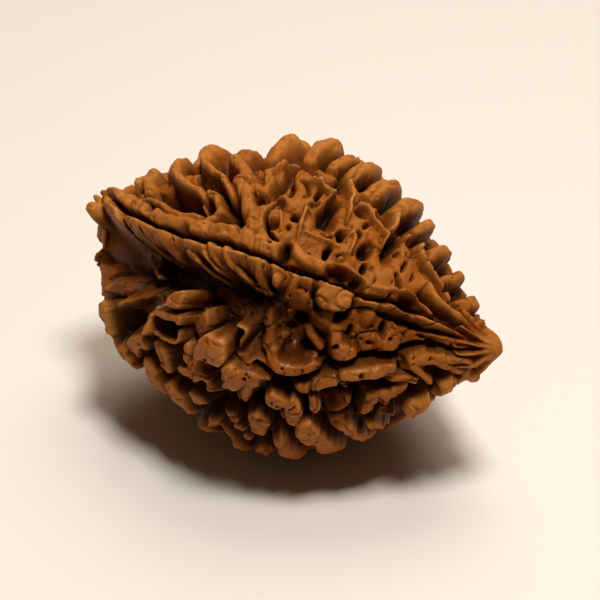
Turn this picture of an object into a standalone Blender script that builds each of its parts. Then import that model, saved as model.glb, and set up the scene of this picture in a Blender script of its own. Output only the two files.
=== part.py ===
"""A rudraksha bead: the ridged stone of one fruit, grown as a single piece.

The bead lies on its side with its long axis along X and its beak at +X. Its outer skin is
worked out flat, as a sheet unrolled from the blunt end to the beak: seams, lips, fins, knobs,
hollows and pits are raised or sunk there by formulas, and the sheet is then wrapped back
round the bead. Lengths are in millimetres, angles in degrees round the long axis: 0 faces
-Y, 90 is the top and -90 is the bottom, where the bead rests.
"""
import math

import bmesh
import bpy
import numpy as np
from mathutils.bvhtree import BVHTree

MM = 0.001

# Driving dimensions of the whole bead
LENGTH = 27.0
BLUNT_END = -LENGTH / 2
AXIS_HEIGHT = 8.92
BEAK_LIFT = 0.75
BLUNT_LIFT = 1.0
CENTRE_SHIFT = (0.023, 0.078)

# Radius of the knob tips along the bead: (share of the length from the blunt end, radius)
OUTLINE = ((0.0, 0.0), (0.015, 2.2), (0.05, 3.1), (0.11, 5.1), (0.2, 7.0), (0.32, 8.2),
           (0.43, 9.15), (0.53, 9.45), (0.64, 8.6), (0.76, 6.9), (0.87, 4.25), (0.95, 2.3),
           (0.985, 1.3), (1.0, 0.0))

# The unrolled sheet and the solid made from it
SHEET_ROWS = 520
SHEET_COLUMNS = 840
SPHERE_SUBDIVISIONS = 8
SOLID_TRIANGLES = 11400
SOFTENING_ROUNDS = 5
EASING_ROUNDS = 60
FOLD_LIMIT = math.radians(115)

# Relief, measured down from the knob tips
VALLEY = -1.55
DEEPEST = 3.6
FLANK = 1.7
ROUNDING = 0.32
KNOB_SPREAD = 1.2
WANDER = 0.22
SKIRT_DROP = 0.42
SKIRT_SPREAD = 1.35
SKIRT_FOOT = 0.42
SKIRT_POWER = 1.8
FULL_RELIEF_RADIUS = 4.2
ISLAND_EDGE = 0.3
ISLAND_ROUND = 0.16
ISLAND_WALL = 5.5
ISLAND_FOOT = 0.55
EIGHT_WAYS = np.radians(np.arange(-180, 180, 45))

WOOD_COLOUR = (0.36, 0.17, 0.06, 1.0)
WOOD_ROUGHNESS = 0.5


def ease(t):
    """Smooth step from 0 to 1."""
    t = np.clip(t, 0.0, 1.0)
    return t * t * (3.0 - 2.0 * t)


def soft_max(a, b, rounding):
    """The larger of two heights, with the valley between them rounded."""
    gap = np.clip(1.0 - np.abs(a - b) / rounding, 0.0, 1.0)
    return np.maximum(a, b) + 0.25 * rounding * gap * gap


def spline(points, step):
    """Points about a step apart on a smooth curve through the given ones."""
    knots = np.array(points, dtype=float)
    if len(knots) < 3:
        return knots
    padded = np.vstack([2 * knots[0] - knots[1], knots, 2 * knots[-1] - knots[-2]])
    out = []
    for i in range(1, len(padded) - 2):
        p0, p1, p2, p3 = padded[i - 1:i + 3]
        count = max(2, int(math.ceil(np.linalg.norm((p2 - p1)[:2]) / step)))
        for t in np.arange(count) / count:
            out.append(0.5 * (2 * p1 + (p2 - p0) * t + (2 * p0 - 5 * p1 + 4 * p2 - p3) * t * t
                              + (3 * p1 - p0 - 3 * p2 + p3) * t ** 3))
    out.append(knots[-1])
    return np.array(out)


def outline_curve(samples):
    """The meridian of the knob tips: place along the axis, radius and arc length."""
    knots = np.array(OUTLINE)
    x = BLUNT_END + LENGTH * knots[:, 0]
    curve = spline(np.column_stack([x, knots[:, 1]]), 0.05)
    radius = np.maximum(curve[:, 1], 0.0)
    length = np.concatenate([[0.0], np.cumsum(np.hypot(np.diff(curve[:, 0]), np.diff(radius)))])
    even = np.linspace(0.0, length[-1], samples)
    return np.interp(even, length, curve[:, 0]), np.interp(even, length, radius), even


def spine(x):
    """Height of the bead's own axis above the long axis: both ends lift a little."""
    beak = BEAK_LIFT * ease((x - 3.0) / 10.5)
    return beak + BLUNT_LIFT * ease((-8.5 - x) / 5.0)


def cell_noise(points, size, seed):
    """Smooth random values from -1 to 1 in cells of the given size."""
    table = np.random.default_rng(seed).uniform(-1.0, 1.0, (32, 32, 32))
    place = points / size + 16.0
    cell = np.floor(place).astype(int)
    part = ease(place - cell)
    total = 0.0
    for i in (0, 1):
        for j in (0, 1):
            for k in (0, 1):
                value = table[(cell[..., 0] + i) % 32, (cell[..., 1] + j) % 32,
                              (cell[..., 2] + k) % 32]
                weight = np.abs(1 - i - part[..., 0]) * np.abs(1 - j - part[..., 1])
                total = total + value * weight * np.abs(1 - k - part[..., 2])
    return total


class Sheet:
    """The bead's skin unrolled: rows from the blunt end to the beak, columns round it."""

    def __init__(self, rows, columns):
        self.x, self.radius, self.along = outline_curve(rows)
        self.turn = np.linspace(-math.pi, math.pi, columns, endpoint=False)
        self.height = np.full((rows, columns), VALLEY)
        self.round = self.radius[:, None] * np.ones(columns)
        self.skin = self.points(np.zeros((rows, columns)))
        self.wander_along = self.wander(11)
        self.wander_round = self.wander(13)

    def wander(self, seed):
        """Small side steps, in two sizes, that keep every outline from looking drawn."""
        return (WANDER * cell_noise(self.skin, 1.5, seed)
                + 0.4 * WANDER * cell_noise(self.skin, 0.6, seed + 1))

    def points(self, lift):
        """The sheet wrapped round the bead, raised by the lift at each place."""
        slope_x = np.gradient(self.x, self.along)
        slope_r = np.gradient(self.radius, self.along)
        scale = np.hypot(slope_x, slope_r)
        out_x = (-slope_r / scale)[:, None]
        out_r = (slope_x / scale)[:, None]
        x = self.x[:, None] + lift * out_x
        r = np.maximum(self.radius[:, None] + lift * out_r, 0.0)
        return np.stack([x, -r * np.cos(self.turn), r * np.sin(self.turn) + spine(x)], axis=-1)

    def row_of(self, x):
        return np.interp(x, self.x, self.along)

    def window(self, path, reach):
        """The part of the sheet within reach of a path of (along, turn) points."""
        low, high = path[:, 0].min() - reach, path[:, 0].max() + reach
        first = max(0, np.searchsorted(self.along, low) - 1)
        last = min(len(self.along), np.searchsorted(self.along, high) + 1)
        rows = np.arange(first, last)
        radius = max(1.0, np.interp(path[:, 0], self.along, self.radius).min() - 0.3 * reach)
        spread = reach / radius
        columns = len(self.turn)
        step = 2 * math.pi / columns
        start = int(math.floor((path[:, 1].min() - spread + math.pi) / step))
        stop = int(math.ceil((path[:, 1].max() + spread + math.pi) / step))
        stop = min(stop, start + columns - 1)
        index = np.arange(start, stop + 1)
        return rows, index % columns, -math.pi + step * index

    def to_path(self, points, step=0.45):
        """A path given as (x, degrees, ...) on the sheet as (along, turn, ...)."""
        path = np.array(points, dtype=float)
        path[:, 0] = self.row_of(path[:, 0])
        path[:, 1] = np.radians(path[:, 1])
        path[:, 1] *= 8.0
        path = spline(path, step)
        path[:, 1] /= 8.0
        return path

    def nearest(self, path, reach):
        """Distance to a path, and the path's third value at the nearest place."""
        rows, columns, turn = self.window(path, reach)
        grid = np.ix_(rows, columns)
        radius = np.maximum(self.radius[rows], 0.3)[:, None]
        u = self.along[rows][:, None] + self.wander_along[grid]
        v = turn[None, :] * radius + self.wander_round[grid]
        best = np.full(u.shape, 1e9)
        extra = np.zeros(u.shape)
        for a, b in zip(path[:-1], path[1:]):
            box = self.beside(rows, turn, a, b, reach + 0.2)
            du, dv = b[0] - a[0], (b[1] - a[1]) * radius[box[0]]
            pu, pv = u[box] - a[0], v[box] - a[1] * radius[box[0]]
            share = np.clip((pu * du + pv * dv) / (du * du + dv * dv + 1e-9), 0.0, 1.0)
            off = np.hypot(pu - share * du, pv - share * dv)
            closer = off < best[box]
            best[box] = np.where(closer, off, best[box])
            extra[box] = np.where(closer, a[2] + share * (b[2] - a[2]), extra[box])
        return grid, best, extra

    def beside(self, rows, turn, a, b, reach):
        """The slices of a window that lie within reach of one straight piece of a path."""
        along = self.along[rows]
        low, high = min(a[0], b[0]) - reach, max(a[0], b[0]) + reach
        first, last = np.searchsorted(along, (low, high))
        radius = max(0.8, np.interp((a[0], b[0]), self.along, self.radius).min() - 0.4 * reach)
        west, east = min(a[1], b[1]) - reach / radius, max(a[1], b[1]) + reach / radius
        left, right = np.searchsorted(turn, (west, east))
        return slice(first, last), slice(left, right)

    def ridge(self, points, half_width, power):
        """Raise a ridge along (x, degrees, top) points, with a lower and wider skirt beside it."""
        path = self.to_path(points)
        foot = SKIRT_SPREAD * half_width + SKIRT_FOOT
        grid, off, top = self.nearest(path, 1.1 * foot)
        value = top - FLANK * (off / half_width) ** power
        skirt = top - SKIRT_DROP - FLANK * (off / foot) ** SKIRT_POWER
        value = np.maximum(value, skirt)
        self.height[grid] = soft_max(self.height[grid], value, ROUNDING)

    def knob(self, x, degrees, half_along, half_round, top, power, tilt):
        """Raise one knob, an ellipse turned by the tilt in degrees."""
        path = np.array([[self.row_of(x), math.radians(degrees)]])
        reach = 1.6 * max(half_along, half_round) + 0.3
        rows, columns, turn = self.window(path, reach)
        grid = np.ix_(rows, columns)
        u = self.along[rows][:, None] - path[0, 0] + self.wander_along[grid]
        v = (turn[None, :] - path[0, 1]) * self.radius[rows][:, None] + self.wander_round[grid]
        c, s = math.cos(math.radians(tilt)), math.sin(math.radians(tilt))
        share = np.hypot((u * c + v * s) / half_along, (v * c - u * s) / half_round) / KNOB_SPREAD
        value = top - FLANK * share ** power
        self.height[grid] = soft_max(self.height[grid], value, ROUNDING)

    def island(self, x, degrees, top, radii):
        """Raise a flat-topped, steep-sided knob: its outline is given by eight radii,
        the first towards the beak, the third upwards."""
        path = np.array([[self.row_of(x), math.radians(degrees)]])
        reach = max(radii) + 1.2
        rows, columns, turn = self.window(path, reach)
        grid = np.ix_(rows, columns)
        u = self.along[rows][:, None] - path[0, 0] + self.wander_along[grid]
        v = (turn[None, :] - path[0, 1]) * self.radius[rows][:, None] + self.wander_round[grid]
        edge = np.interp(np.arctan2(v, u), EIGHT_WAYS, np.roll(radii, 4), period=2 * math.pi)
        inside = edge - np.hypot(u, v)
        crown = top - ISLAND_EDGE * np.exp(-np.maximum(inside, 0.0) / ISLAND_ROUND)
        outside = np.maximum(-inside, 0.0)
        value = crown - ISLAND_WALL * outside / (1.0 + ISLAND_FOOT * outside)
        self.height[grid] = soft_max(self.height[grid], value, ROUNDING)

    def pit(self, x, degrees, half_along, half_round, depth, tilt):
        """Sink a steep-walled pit."""
        path = np.array([[self.row_of(x), math.radians(degrees)]])
        reach = 2.2 * max(half_along, half_round)
        rows, columns, turn = self.window(path, reach)
        grid = np.ix_(rows, columns)
        u = self.along[rows][:, None] - path[0, 0] + 0.4 * self.wander_along[grid]
        v = (turn[None, :] - path[0, 1]) * self.radius[rows][:, None]
        c, s = math.cos(math.radians(tilt)), math.sin(math.radians(tilt))
        share = np.hypot((u * c + v * s) / half_along, (v * c - u * s) / half_round)
        self.height[grid] -= depth / (1.0 + share ** 5)

    def crack(self, points, half_width, depth):
        """Sink a narrow crack along (x, degrees) points."""
        path = self.to_path([(p[0], p[1], 0.0) for p in points])
        grid, off, _ = self.nearest(path, 3.0 * half_width)
        self.height[grid] -= depth * np.exp(-(off / half_width) ** 2)

    def slump(self, points, half_width, drop):
        """Lower everything along (x, degrees) points."""
        path = self.to_path([(p[0], p[1], 0.0) for p in points])
        grid, off, _ = self.nearest(path, half_width)
        self.height[grid] -= drop * ease(1.3 * (1.0 - off / half_width))

    def ground(self, points, half_width, level):
        """Ease the valley floor towards a level along (x, degrees) points."""
        path = self.to_path([(p[0], p[1], 0.0) for p in points])
        grid, off, _ = self.nearest(path, half_width)
        share = ease(1.4 * (1.0 - off / half_width))
        self.height[grid] += (level - self.height[grid]) * share


# Seams run from the blunt end to the beak: (x, degrees)
UPPER_SEAM = ((-13.2, 92), (-12.4, 78), (-11.4, 67), (-10.4, 61), (-9, 56.5), (-8, 54), (-7, 52.3),
              (-5.6, 50.8), (-4.6, 49.6), (-3, 49), (0, 48.8), (2, 48.6), (4.5, 49), (6.8, 48.6),
              (7.3, 47.8), (8, 48.6), (9, 49.5), (10, 50), (11, 50.5), (12, 51), (13.2, 52))
LOWER_SEAM = ((2.4, 6.5), (3.1, 4.2), (3.8, 1.9), (4.9, 1.9), (5.5, 4), (6.2, 6), (6.7, 9),
              (7.2, 11), (8, 14), (8.8, 14.6), (9.5, 15.5), (10, 19), (10.6, 22), (11.3, 21),
              (12, 16), (12.8, 9), (13.3, 5))
HIDDEN_SEAMS = (((-13, 160), (-9, 137), (-4, 143), (2, 139), (7, 146), (12, 141), (13.3, 138)),
                ((-13, -160), (-9, -138), (-3, -146), (3, -141), (8, -147), (13.2, -143)),
                ((-13, -60), (-9, -76), (-3, -70), (3, -78), (8, -88), (13.2, -95)))

# Plates of the lower lip, laid over each other like shingles: where each begins on the fold
# line, and how far the lip stands below the knob tips there
PLATES = ((-12.5, -0.1), (-10.4, 0.3), (-8.3, 0.35), (-4.5, 0.35), (-1.5, 0.3), (1.3, 0.35),
          (2.75, 0.45), (4.9, 0.35), (6.9, 0.8), (9.5, 0.6))
PLATE_SLANT = 1.25
PLATE_STEP = 0.6
LIP_SETBACK = 0.08
LIP_FALL = 3.0
LIP_REACH = 2.1


def lower_lip(sheet):
    """The upper seam's lower side: shingled plates that fall away into the trough."""
    seam = sheet.to_path([(x, t, 0.0) for x, t in UPPER_SEAM])
    line = np.interp(sheet.along, seam[:, 0], seam[:, 1])
    radius = sheet.radius[:, None]
    drop = (line[:, None] - sheet.turn[None, :]) * radius + 0.7 * sheet.wander_round
    fold = sheet.x[:, None] - PLATE_SLANT * np.clip(drop - 0.5, 0.0, 3.0) + 0.7 * sheet.wander_along
    starts = np.array([start for start, _ in PLATES])
    sinks = np.array([sink for _, sink in PLATES])
    plate = np.clip(np.searchsorted(starts, fold) - 1, 0, len(PLATES) - 1)
    ends = np.append(starts[1:], starts[-1] + 4.0)
    share = (fold - starts[plate]) / (ends[plate] - starts[plate])
    edge = ease((fold - starts[plate]) / 0.12)
    sink = sinks[plate] + (1.0 - edge) * 0.8
    fade = ease((drop - 0.2) / 1.3)
    lip = -sink - LIP_FALL * ease((drop - 0.35) / LIP_REACH)
    lip -= PLATE_STEP * ease(share) * (0.25 + 0.75 * fade)
    inside = (drop > LIP_SETBACK) & (drop < 3.4) & (sheet.x[:, None] < 7.4)
    side = 2.2 * np.clip(1.0 - (drop - LIP_SETBACK) / 0.16, 0.0, 1.0) ** 2
    sheet.height = np.where(inside, soft_max(sheet.height, lip - side, ROUNDING), sheet.height)


# Places where the floor lies deeper or shallower than the common valley: path, half width, level
GROUND = (
    (((-12.2, 62), (-11, 48), (-9.6, 41), (-8, 34), (-5, 32), (-2, 31), (1, 28)), 2.6, -3.5),
    (((0, 24), (2.5, 24), (5.2, 22)), 2.2, -2.7),
    (((-6.5, 62), (-4.5, 72), (-4.2, 80)), 1.9, -2.7),
    (((-2, 62), (-1.6, 60)), 1.1, -2.5),
    (((1.0, 61), (3, 64), (6, 67), (9.5, 72)), 3.0, -0.72),
    (((1.8, 76), (5, 80), (9, 82)), 2.4, -0.8),
    (((8, 58), (10.5, 66), (12.5, 64)), 1.6, -0.6),
    (((-6.2, 11), (-7.4, 2), (-8.4, -8)), 0.9, -2.4),
    (((0.6, 24), (-0.8, 20)), 1.0, -2.8),
    (((6.5, 34), (7.5, 27), (9, 27)), 1.9, -1.3),
    (((-4.4, 14), (-3, 6)), 1.2, -2.0),
    (((.6, -4), (3, -6), (6, -9)), 1.3, -2.2),
    (((-9, 106), (-4, 108), (0, 112), (5, 114), (9, 113), (12, 112)), 2.3, -1.8),
)

# Flanks that lie inside the round outline: path, half width, how far
SLUMPS = (
    (((6.5, 152), (8.5, 150), (10.5, 150), (12, 150)), 4.2, 0.75),
    (((-8, 122), (-2, 130), (3, 141), (8, 152)), 2.2, 0.8),
    (((-7, -50), (0, -62), (5, -68), (12, -80)), 2.2, 0.7),
    (((-12.6, 40), (-11.4, 10)), 2.2, 0.8),
)

# Ridges of the side that shows: points (x, degrees, top), half width, steepness
RIDGES = (
    # Folds of the lower lip's plates
    (((-9.1, 53.5, -.4), (-8.6, 50, -.5), (-8, 46.8, -.75), (-7.2, 43, -1.2), (-6.4, 40, -1.7),
      (-5.9, 37, -2.3)), .3, 2),
    (((-5.7, 48.5, -.4), (-5.3, 44.5, -.7), (-4.95, 41, -1.4)), .36, 2.2),
    (((-4.25, 49, -.3), (-4.15, 45.5, -.45), (-3.6, 42.6, -.75), (-3.0, 40, -1.1), (-2.4, 37.5, -1.6),
      (-1.8, 35, -2.1)), .28, 2),
    (((-2.4, 47.6, -.35), (-1.9, 44.5, -.6), (-1.3, 41.5, -1.1)), .34, 2.2),
    (((-1.15, 48.2, -.22), (-.95, 45, -.35), (-.5, 42.4, -.6), (.2, 40.8, -1.0), (.9, 38.4, -1.5),
      (1.6, 36, -2)), .28, 2),
    (((1.3, 47, -.35), (1.4, 43, -.6), (1.7, 39.5, -1.1), (2.1, 36, -1.8)), .36, 2.2),
    (((3.4, 47, -.35), (3.45, 42, -.7), (3.5, 38, -1.2)), .42, 2.4),
    # Upper lip along the seam, out to its rounded flap
    (((-12.9, 96, .2), (-12.3, 80, .3), (-11.4, 71, .0), (-9.6, 63, -.3), (-8.4, 58.5, -.35),
      (-7.2, 56, -.4), (-6, 54.3, -.35), (-5, 53.2, -.35), (-4, 52.6, -.3), (-3, 52.8, -.35),
      (-2, 52.9, -.3), (-1.1, 53.2, -.3), (0, 52.7, -.35), (1, 52.9, -.3), (2, 53, -.3)), .6, 4),
    (((2.8, 55.3, -.4), (3.7, 53.6, -.3), (4.6, 53.4, -.3)), .42, 3),
    (((5.2, 57.5, -.4), (6.2, 56.6, -.4), (7.2, 54.5, -.4), (8, 54.8, -.35), (8.7, 58, -.3),
      (9.2, 59.5, -.22), (9.7, 58.4, -.22), (10.1, 55, -.25), (10.4, 50.8, -.3),
      (10.8, 47.6, -.3)), .27, 2),
    (((1.9, 53, -.4), (2.0, 50.4, -.5)), .3, 3),
    (((4.4, 53.5, -.35), (4.65, 50.9, -.45)), .32, 3),
    (((6.0, 56, -.5), (6.0, 51.5, -.8)), .22, 2),
    (((7.1, 54, -.5), (7.3, 49.8, -.6)), .24, 2),
    (((8.1, 54, -.45), (8.35, 50.6, -.6)), .24, 2),
    # Crest on the far edge of the upper lip
    (((-9.2, 67, -.4), (-8.5, 65.2, -.35), (-7.8, 64, -.35), (-7, 62, -.4), (-6.3, 60.3, -.45),
      (-5.5, 59.2, -.5), (-4.7, 58.2, -.55), (-4.1, 58, -.6)), .3, 2),
    # Tall thin fins behind the lip
    (((-8.2, 86, -.3), (-7.9, 84, -.1), (-7.3, 81, 0), (-6.6, 77, 0), (-6, 74.5, -.1),
      (-5.2, 71.3, -.3), (-4.7, 68, -.6)), .34, 1.6),
    (((-6.4, 94, -.1), (-5.7, 88, 0), (-5.2, 84.5, -.05), (-4.7, 82, -.15), (-4.2, 79.8, -.15),
      (-3.7, 77, -.15), (-3.2, 73.8, -.2), (-2.8, 71, -.35), (-2.5, 68.6, -.6)), .34, 1.6),
    (((-4.5, 70.8, -.55), (-4.1, 70, -.4), (-3.6, 67.5, -.4), (-3.1, 64.5, -.5), (-2.8, 61.5, -.6),
      (-3.1, 58, -.55), (-3.3, 55.5, -.45)), .36, 2.2),
    (((-4.7, 67.5, -.9), (-4.75, 65.5, -1.0), (-4.5, 63.2, -1.1), (-4.0, 61, -1.1),
      (-3.6, 59.8, -.9)), .13, 1.6),
    (((-2.9, 78.5, -.3), (-2.4, 75, -.25), (-2, 72.3, -.3), (-1.5, 69.6, -.3), (-1.1, 66, -.35),
      (-.8, 62, -.5), (-.5, 58, -.5), (-.4, 54.5, -.45)), .5, 2.6),
    (((-2.2, 79, -.35), (-2.9, 84, -.3), (-3.8, 90, -.25), (-4.6, 97, -.3)), .55, 2.2),
    (((-1.0, 73, -.4), (-.6, 76, -.4), (-.9, 80, -.4), (-1.4, 86, -.35), (-1.0, 93, -.3)), .42, 2.2),
    # Fins and crests of the pitted face
    (((.45, 73.4, -.5), (.9, 73.6, -.45), (1.3, 72.2, -.5)), .16, 2),
    (((1.05, 68, -.45), (1.45, 64.8, -.5), (1.7, 61.8, -.6)), .24, 2),
    (((1.5, 86, -.45), (2.0, 88.3, -.3), (2.6, 87.8, -.3), (2.9, 89, -.3)), .2, 2),
    (((2.85, 89, -.35), (2.95, 84, -.5), (3.1, 79.5, -.6)), .16, 2),
    (((2.25, 79, -.45), (2.3, 75, -.3), (2.32, 71, -.3), (2.4, 67.3, -.3), (2.6, 64, -.35),
      (2.72, 61, -.4), (2.9, 59, -.6)), .2, 1.8),
    (((2.5, 74.6, -.45), (2.95, 72.8, -.5), (3.25, 70.2, -.6), (3.62, 67.4, -.6), (4.0, 68.6, -.55),
      (4.5, 67.6, -.55), (4.95, 69, -.5), (5.15, 72, -.45), (5.25, 75.5, -.4)), .17, 2),
    (((3.2, 96, -.15), (3.6, 93, -.05), (4.0, 89.6, 0), (4.2, 86.5, -.1), (4.4, 84.3, -.2),
      (4.6, 81.8, -.3), (4.7, 78.5, -.5)), .2, 1.6),
    (((4.6, 90, -.2), (4.95, 91.6, -.15), (5.35, 90, -.15), (5.6, 87.5, -.2), (6.0, 86, -.25),
      (6.6, 85.2, -.3)), .2, 1.8),
    (((6.3, 97, -.1), (6.6, 91, -.1), (6.7, 87, -.15), (6.82, 82, -.3), (7.05, 76.5, -.5)), .22, 1.8),
    (((5.3, 74.5, -.5), (5.6, 70, -.5), (5.75, 66, -.25), (5.7, 63.5, -.4)), .22, 2),
    (((3.0, 63.3, -.55), (3.6, 63.8, -.5), (4.2, 64.3, -.5), (4.9, 63.8, -.6)), .2, 2),
    (((7.6, 83, -.4), (8.0, 79, -.5), (8.2, 74, -.6)), .18, 2),
    (((8.3, 95, -.2), (8.6, 91, -.25), (9.1, 87.5, -.35), (9.9, 85, -.35), (10.5, 83, -.35),
      (10.8, 78, -.4)), .26, 2),
    (((9.7, 74, -.4), (10.1, 70.5, -.25), (10.45, 67.2, -.15), (11.1, 66, -.2), (11.7, 63, -.2),
      (12.4, 60, -.2), (13.2, 58, -.15)), .36, 2.2),
    # Rim that carries the seam on to the beak
    (((6.9, 46.6, -.5), (7.5, 46.8, -.35), (8.3, 47.2, -.3), (9, 47.4, -.3), (10, 47.2, -.28),
      (10.7, 46.2, -.22), (11.5, 45.4, -.2), (12.3, 45.4, -.2), (13.2, 46, -.15)), .36, 2.4),
    (((9.0, 39, -.9), (9.2, 35, -.8), (9.45, 30, -.8)), .2, 2),
    (((10.4, 36, -.5), (11.2, 34, -.35), (12.2, 33, -.25), (13.2, 33, -.15)), .42, 2.4),
    (((11.2, 27, -.5), (12.2, 25, -.35), (13.2, 24, -.2)), .3, 2.2),
    # Ribs in the trough
    (((-7.6, 40, -2.1), (-7.5, 34, -2.3), (-7.4, 29.5, -2.2), (-6.8, 26, -2.0)), .26, 1.8),
    (((-2.1, 31, -2.2), (-1.8, 28, -2.0), (-1.1, 26.3, -1.9)), .16, 1.8),
    (((2.75, 31.5, -1.8), (2.6, 27, -1.5), (2.65, 23, -1.4), (2.9, 19, -1.3), (2.85, 14, -1.0)), .25, 2),
    (((4.9, 24, -1.7), (5.2, 20.5, -1.2), (5.7, 17, -1.0)), .22, 2),
    (((5.1, 11.2, -1.2), (5.5, 12.6, -1.0)), .22, 2),
    (((3.4, 36, -1.8), (4.0, 33, -2.0), (3.9, 29, -2.1)), .3, 2),
    # Folded knobs left of the trough
    (((-3.3, 15.7, -.5), (-4.0, 14, -.45), (-4.7, 11.6, -.5)), .42, 4),
    (((-5.3, 9.5, -.6), (-5.5, 6, -.5), (-5.0, 3.7, -.45), (-4.3, 3.9, -.45), (-3.6, 5.3, -.5),
      (-3.1, 8, -.6), (-3.2, 11, -.7)), .19, 1.8),
    (((.35, 18.2, -1.3), (.6, 20, -1.1), (1.05, 20.2, -1.0), (1.35, 18.6, -1.0), (1.28, 15, -1.1),
      (1.2, 11.8, -1.4)), .24, 2),
    (((.75, 4.6, -.5), (1.5, 3.6, -.4), (2.2, 2.2, -.4), (2.75, .2, -.5)), .45, 3.4),
    (((2.1, 1, -.45), (1.95, -4, -.5), (1.7, -8.5, -.65)), .42, 3),
    # Islands and lips along the lower seam
    (((3.25, 13.5, -.8), (3.45, 9, -.7), (4.1, 6.3, -.6), (4.9, 6.6, -.6), (5.4, 8.2, -.7)), .5, 3.4),
    (((6.35, 28, -1.0), (6.5, 24, -.7), (6.5, 21, -.6)), .42, 3),
    (((4.95, -2.2, -.6), (5.3, -2, -.55), (6, .4, -.5), (6.7, 1.6, -.45), (7.5, 4.4, -.3),
      (8.3, 5.2, -.3), (9.2, 4.8, -.35)), .6, 3.2),
    (((9.2, -1, -.6), (9.7, -8, -.5), (10.15, -15.5, -.45)), .34, 2.4),
    (((10.0, 0, -.55), (10.5, -10, -.45), (10.8, -19, -.4)), .34, 2.4),
    (((11.2, 2, -.45), (11.6, -10, -.4), (12.1, -22, -.35)), .34, 2.4),
    (((12.2, 4, -.35), (12.7, -10, -.3), (13.1, -25, -.2)), .3, 2.4),
    # Keel of the beak's underside
    (((11.0, -46, -.5), (10.9, -68, -.2)), .7, 3),
    (((12.4, -34, -.35), (12.4, -52, -.2), (12.4, -72, -.05)), .5, 2.8),
    # Tall knobs that stand apart along the upper outline
    (((-8.3, 90, -.45), (-8.6, 98, -.2), (-8.7, 106, -.3)), .75, 2.2),
    (((-7.0, 98, -.5), (-7.1, 106, -.05), (-7.1, 114, .1), (-7.1, 122, -.2)), .9, 2.2),
    (((-4.6, 99, -.7), (-4.6, 106, -.35), (-4.6, 113, -.5)), .75, 2.2),
    (((-2.3, 98, -.5), (-2.3, 105, .0), (-2.3, 112, .4), (-2.3, 120, .1)), .85, 1.8),
    (((.0, 101, -.6), (.1, 108, .05), (.15, 115, .35), (.1, 122, .0)), .6, 2.2),
    (((1.7, 104, -.6), (1.8, 111, -.15), (1.8, 118, -.2)), .48, 2.2),
    (((2.9, 103, -.6), (3.0, 110, -.1), (3.05, 116, .1), (3.0, 123, -.15)), .52, 2.2),
    (((4.5, 99, -.5), (4.6, 105, -.2), (4.6, 112, -.05), (4.6, 120, -.1), (4.6, 126, -.4)), .62, 2.5),
    (((6.1, 103, -.5), (6.2, 110, -.05), (6.3, 117, .15), (6.3, 125, -.2)), .48, 2.2),
    (((7.3, 104, -.6), (7.4, 112, -.1), (7.45, 119, .15), (7.5, 126, -.2)), .42, 1.8),
    (((8.2, 110, -.6), (8.2, 118, -.25)), .35, 2.2),
    (((8.9, 101, -.5), (8.95, 108, -.1), (9.0, 116, -.1), (9.0, 124, -.4)), .48, 2.4),
    (((9.9, 94, -.5), (10.0, 101, -.25), (10.0, 110, -.3), (10.0, 118, -.5)), .45, 2.2),
    (((11.0, 88, -.5), (11.1, 98, -.15), (11.15, 108, .0), (11.1, 120, -.2)), .5, 2.4),
    (((12.3, 95, -.4), (12.3, 108, -.1), (12.3, 124, -.1)), .4, 2.2),
    # Smooth folds at the blunt end
    (((-9.0, 73, -.3), (-9.7, 84, -.15), (-10.0, 96, -.05)), .55, 2.4),
    (((-11.4, 74, -.3), (-11.9, 88, -.15), (-12.0, 104, -.1)), .5, 2.4),
    (((10.3, 4.5, -.5), (11.2, 5, -.4), (12.2, 2, -.35), (13.2, -4, -.2)), .5, 2.8),
)

# Knobs of the side that shows: x, degrees, half sizes along and round, top, steepness, tilt
KNOBS = (
    (2.5, 42.3, .3, .55, -.35, 4, -8),
    (-13.1, 88, .5, .9, .45, 2.6, 0), (-12.9, 56, .5, .7, .5, 2.6, 0),
    (-1.85, 20.6, .26, .2, -1.2, 2.4, 0),
    (-2.6, 17, .3, .5, -1.5, 2.4, 0),
    (.62, -1.2, .42, 1.0, -.3, 4, -6),
    (6.95, 16.8, .92, .85, -.5, 4, -20),
    (9.0, 23.5, .95, 1.25, -.7, 4, 0), (7.8, 39.5, .75, .95, -.8, 3, 0),
    (9.95, 7.5, .38, 1.0, -.45, 2.8, 6),
    (.75, 65.5, .62, .95, -.55, 4, -8), (-1.8, 57.8, .62, .34, -.85, 3, 0),
    (-1.4, 74.4, .8, .7, -.4, 2.8, 0), (2.95, 68, .5, .8, -.62, 4, 0),
    (5.25, 59.3, .3, .36, -.25, 2.2, 0), (2.55, 57.2, .26, .32, -.3, 2.2, 0),
    (6.05, 62, .35, .6, -.6, 2.4, 0), (4.9, 54.5, .3, .3, -.6, 2.4, 0),
    (-8.9, 58.8, .5, .5, -.4, 2.6, 0), (-10.4, 71, .55, .6, -.3, 2.6, 0),
    (-2.2, -7.5, .55, .5, -.8, 2.6, 0), (-.7, -3.5, .5, .5, -1.3, 2.6, 0),
    (.1, 6, .4, .5, -1.7, 2.6, 0), (3.8, 31, .4, .4, -2.0, 2.4, 0), (5.6, 31, .5, .5, -1.4, 2.6, 0),
    (6.7, 38, .45, .6, -1.2, 2.4, 0), (7.5, 31, .35, .5, -1.1, 2.4, 0), (3.6, 18, .5, .5, -1.9, 2.6, 0),
    (11.9, 84, .7, .6, -.3, 3, 0), (5.4, 95, .45, .5, -.5, 3, 0), (7.5, 94, .4, .5, -.35, 3, 0),
)

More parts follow.
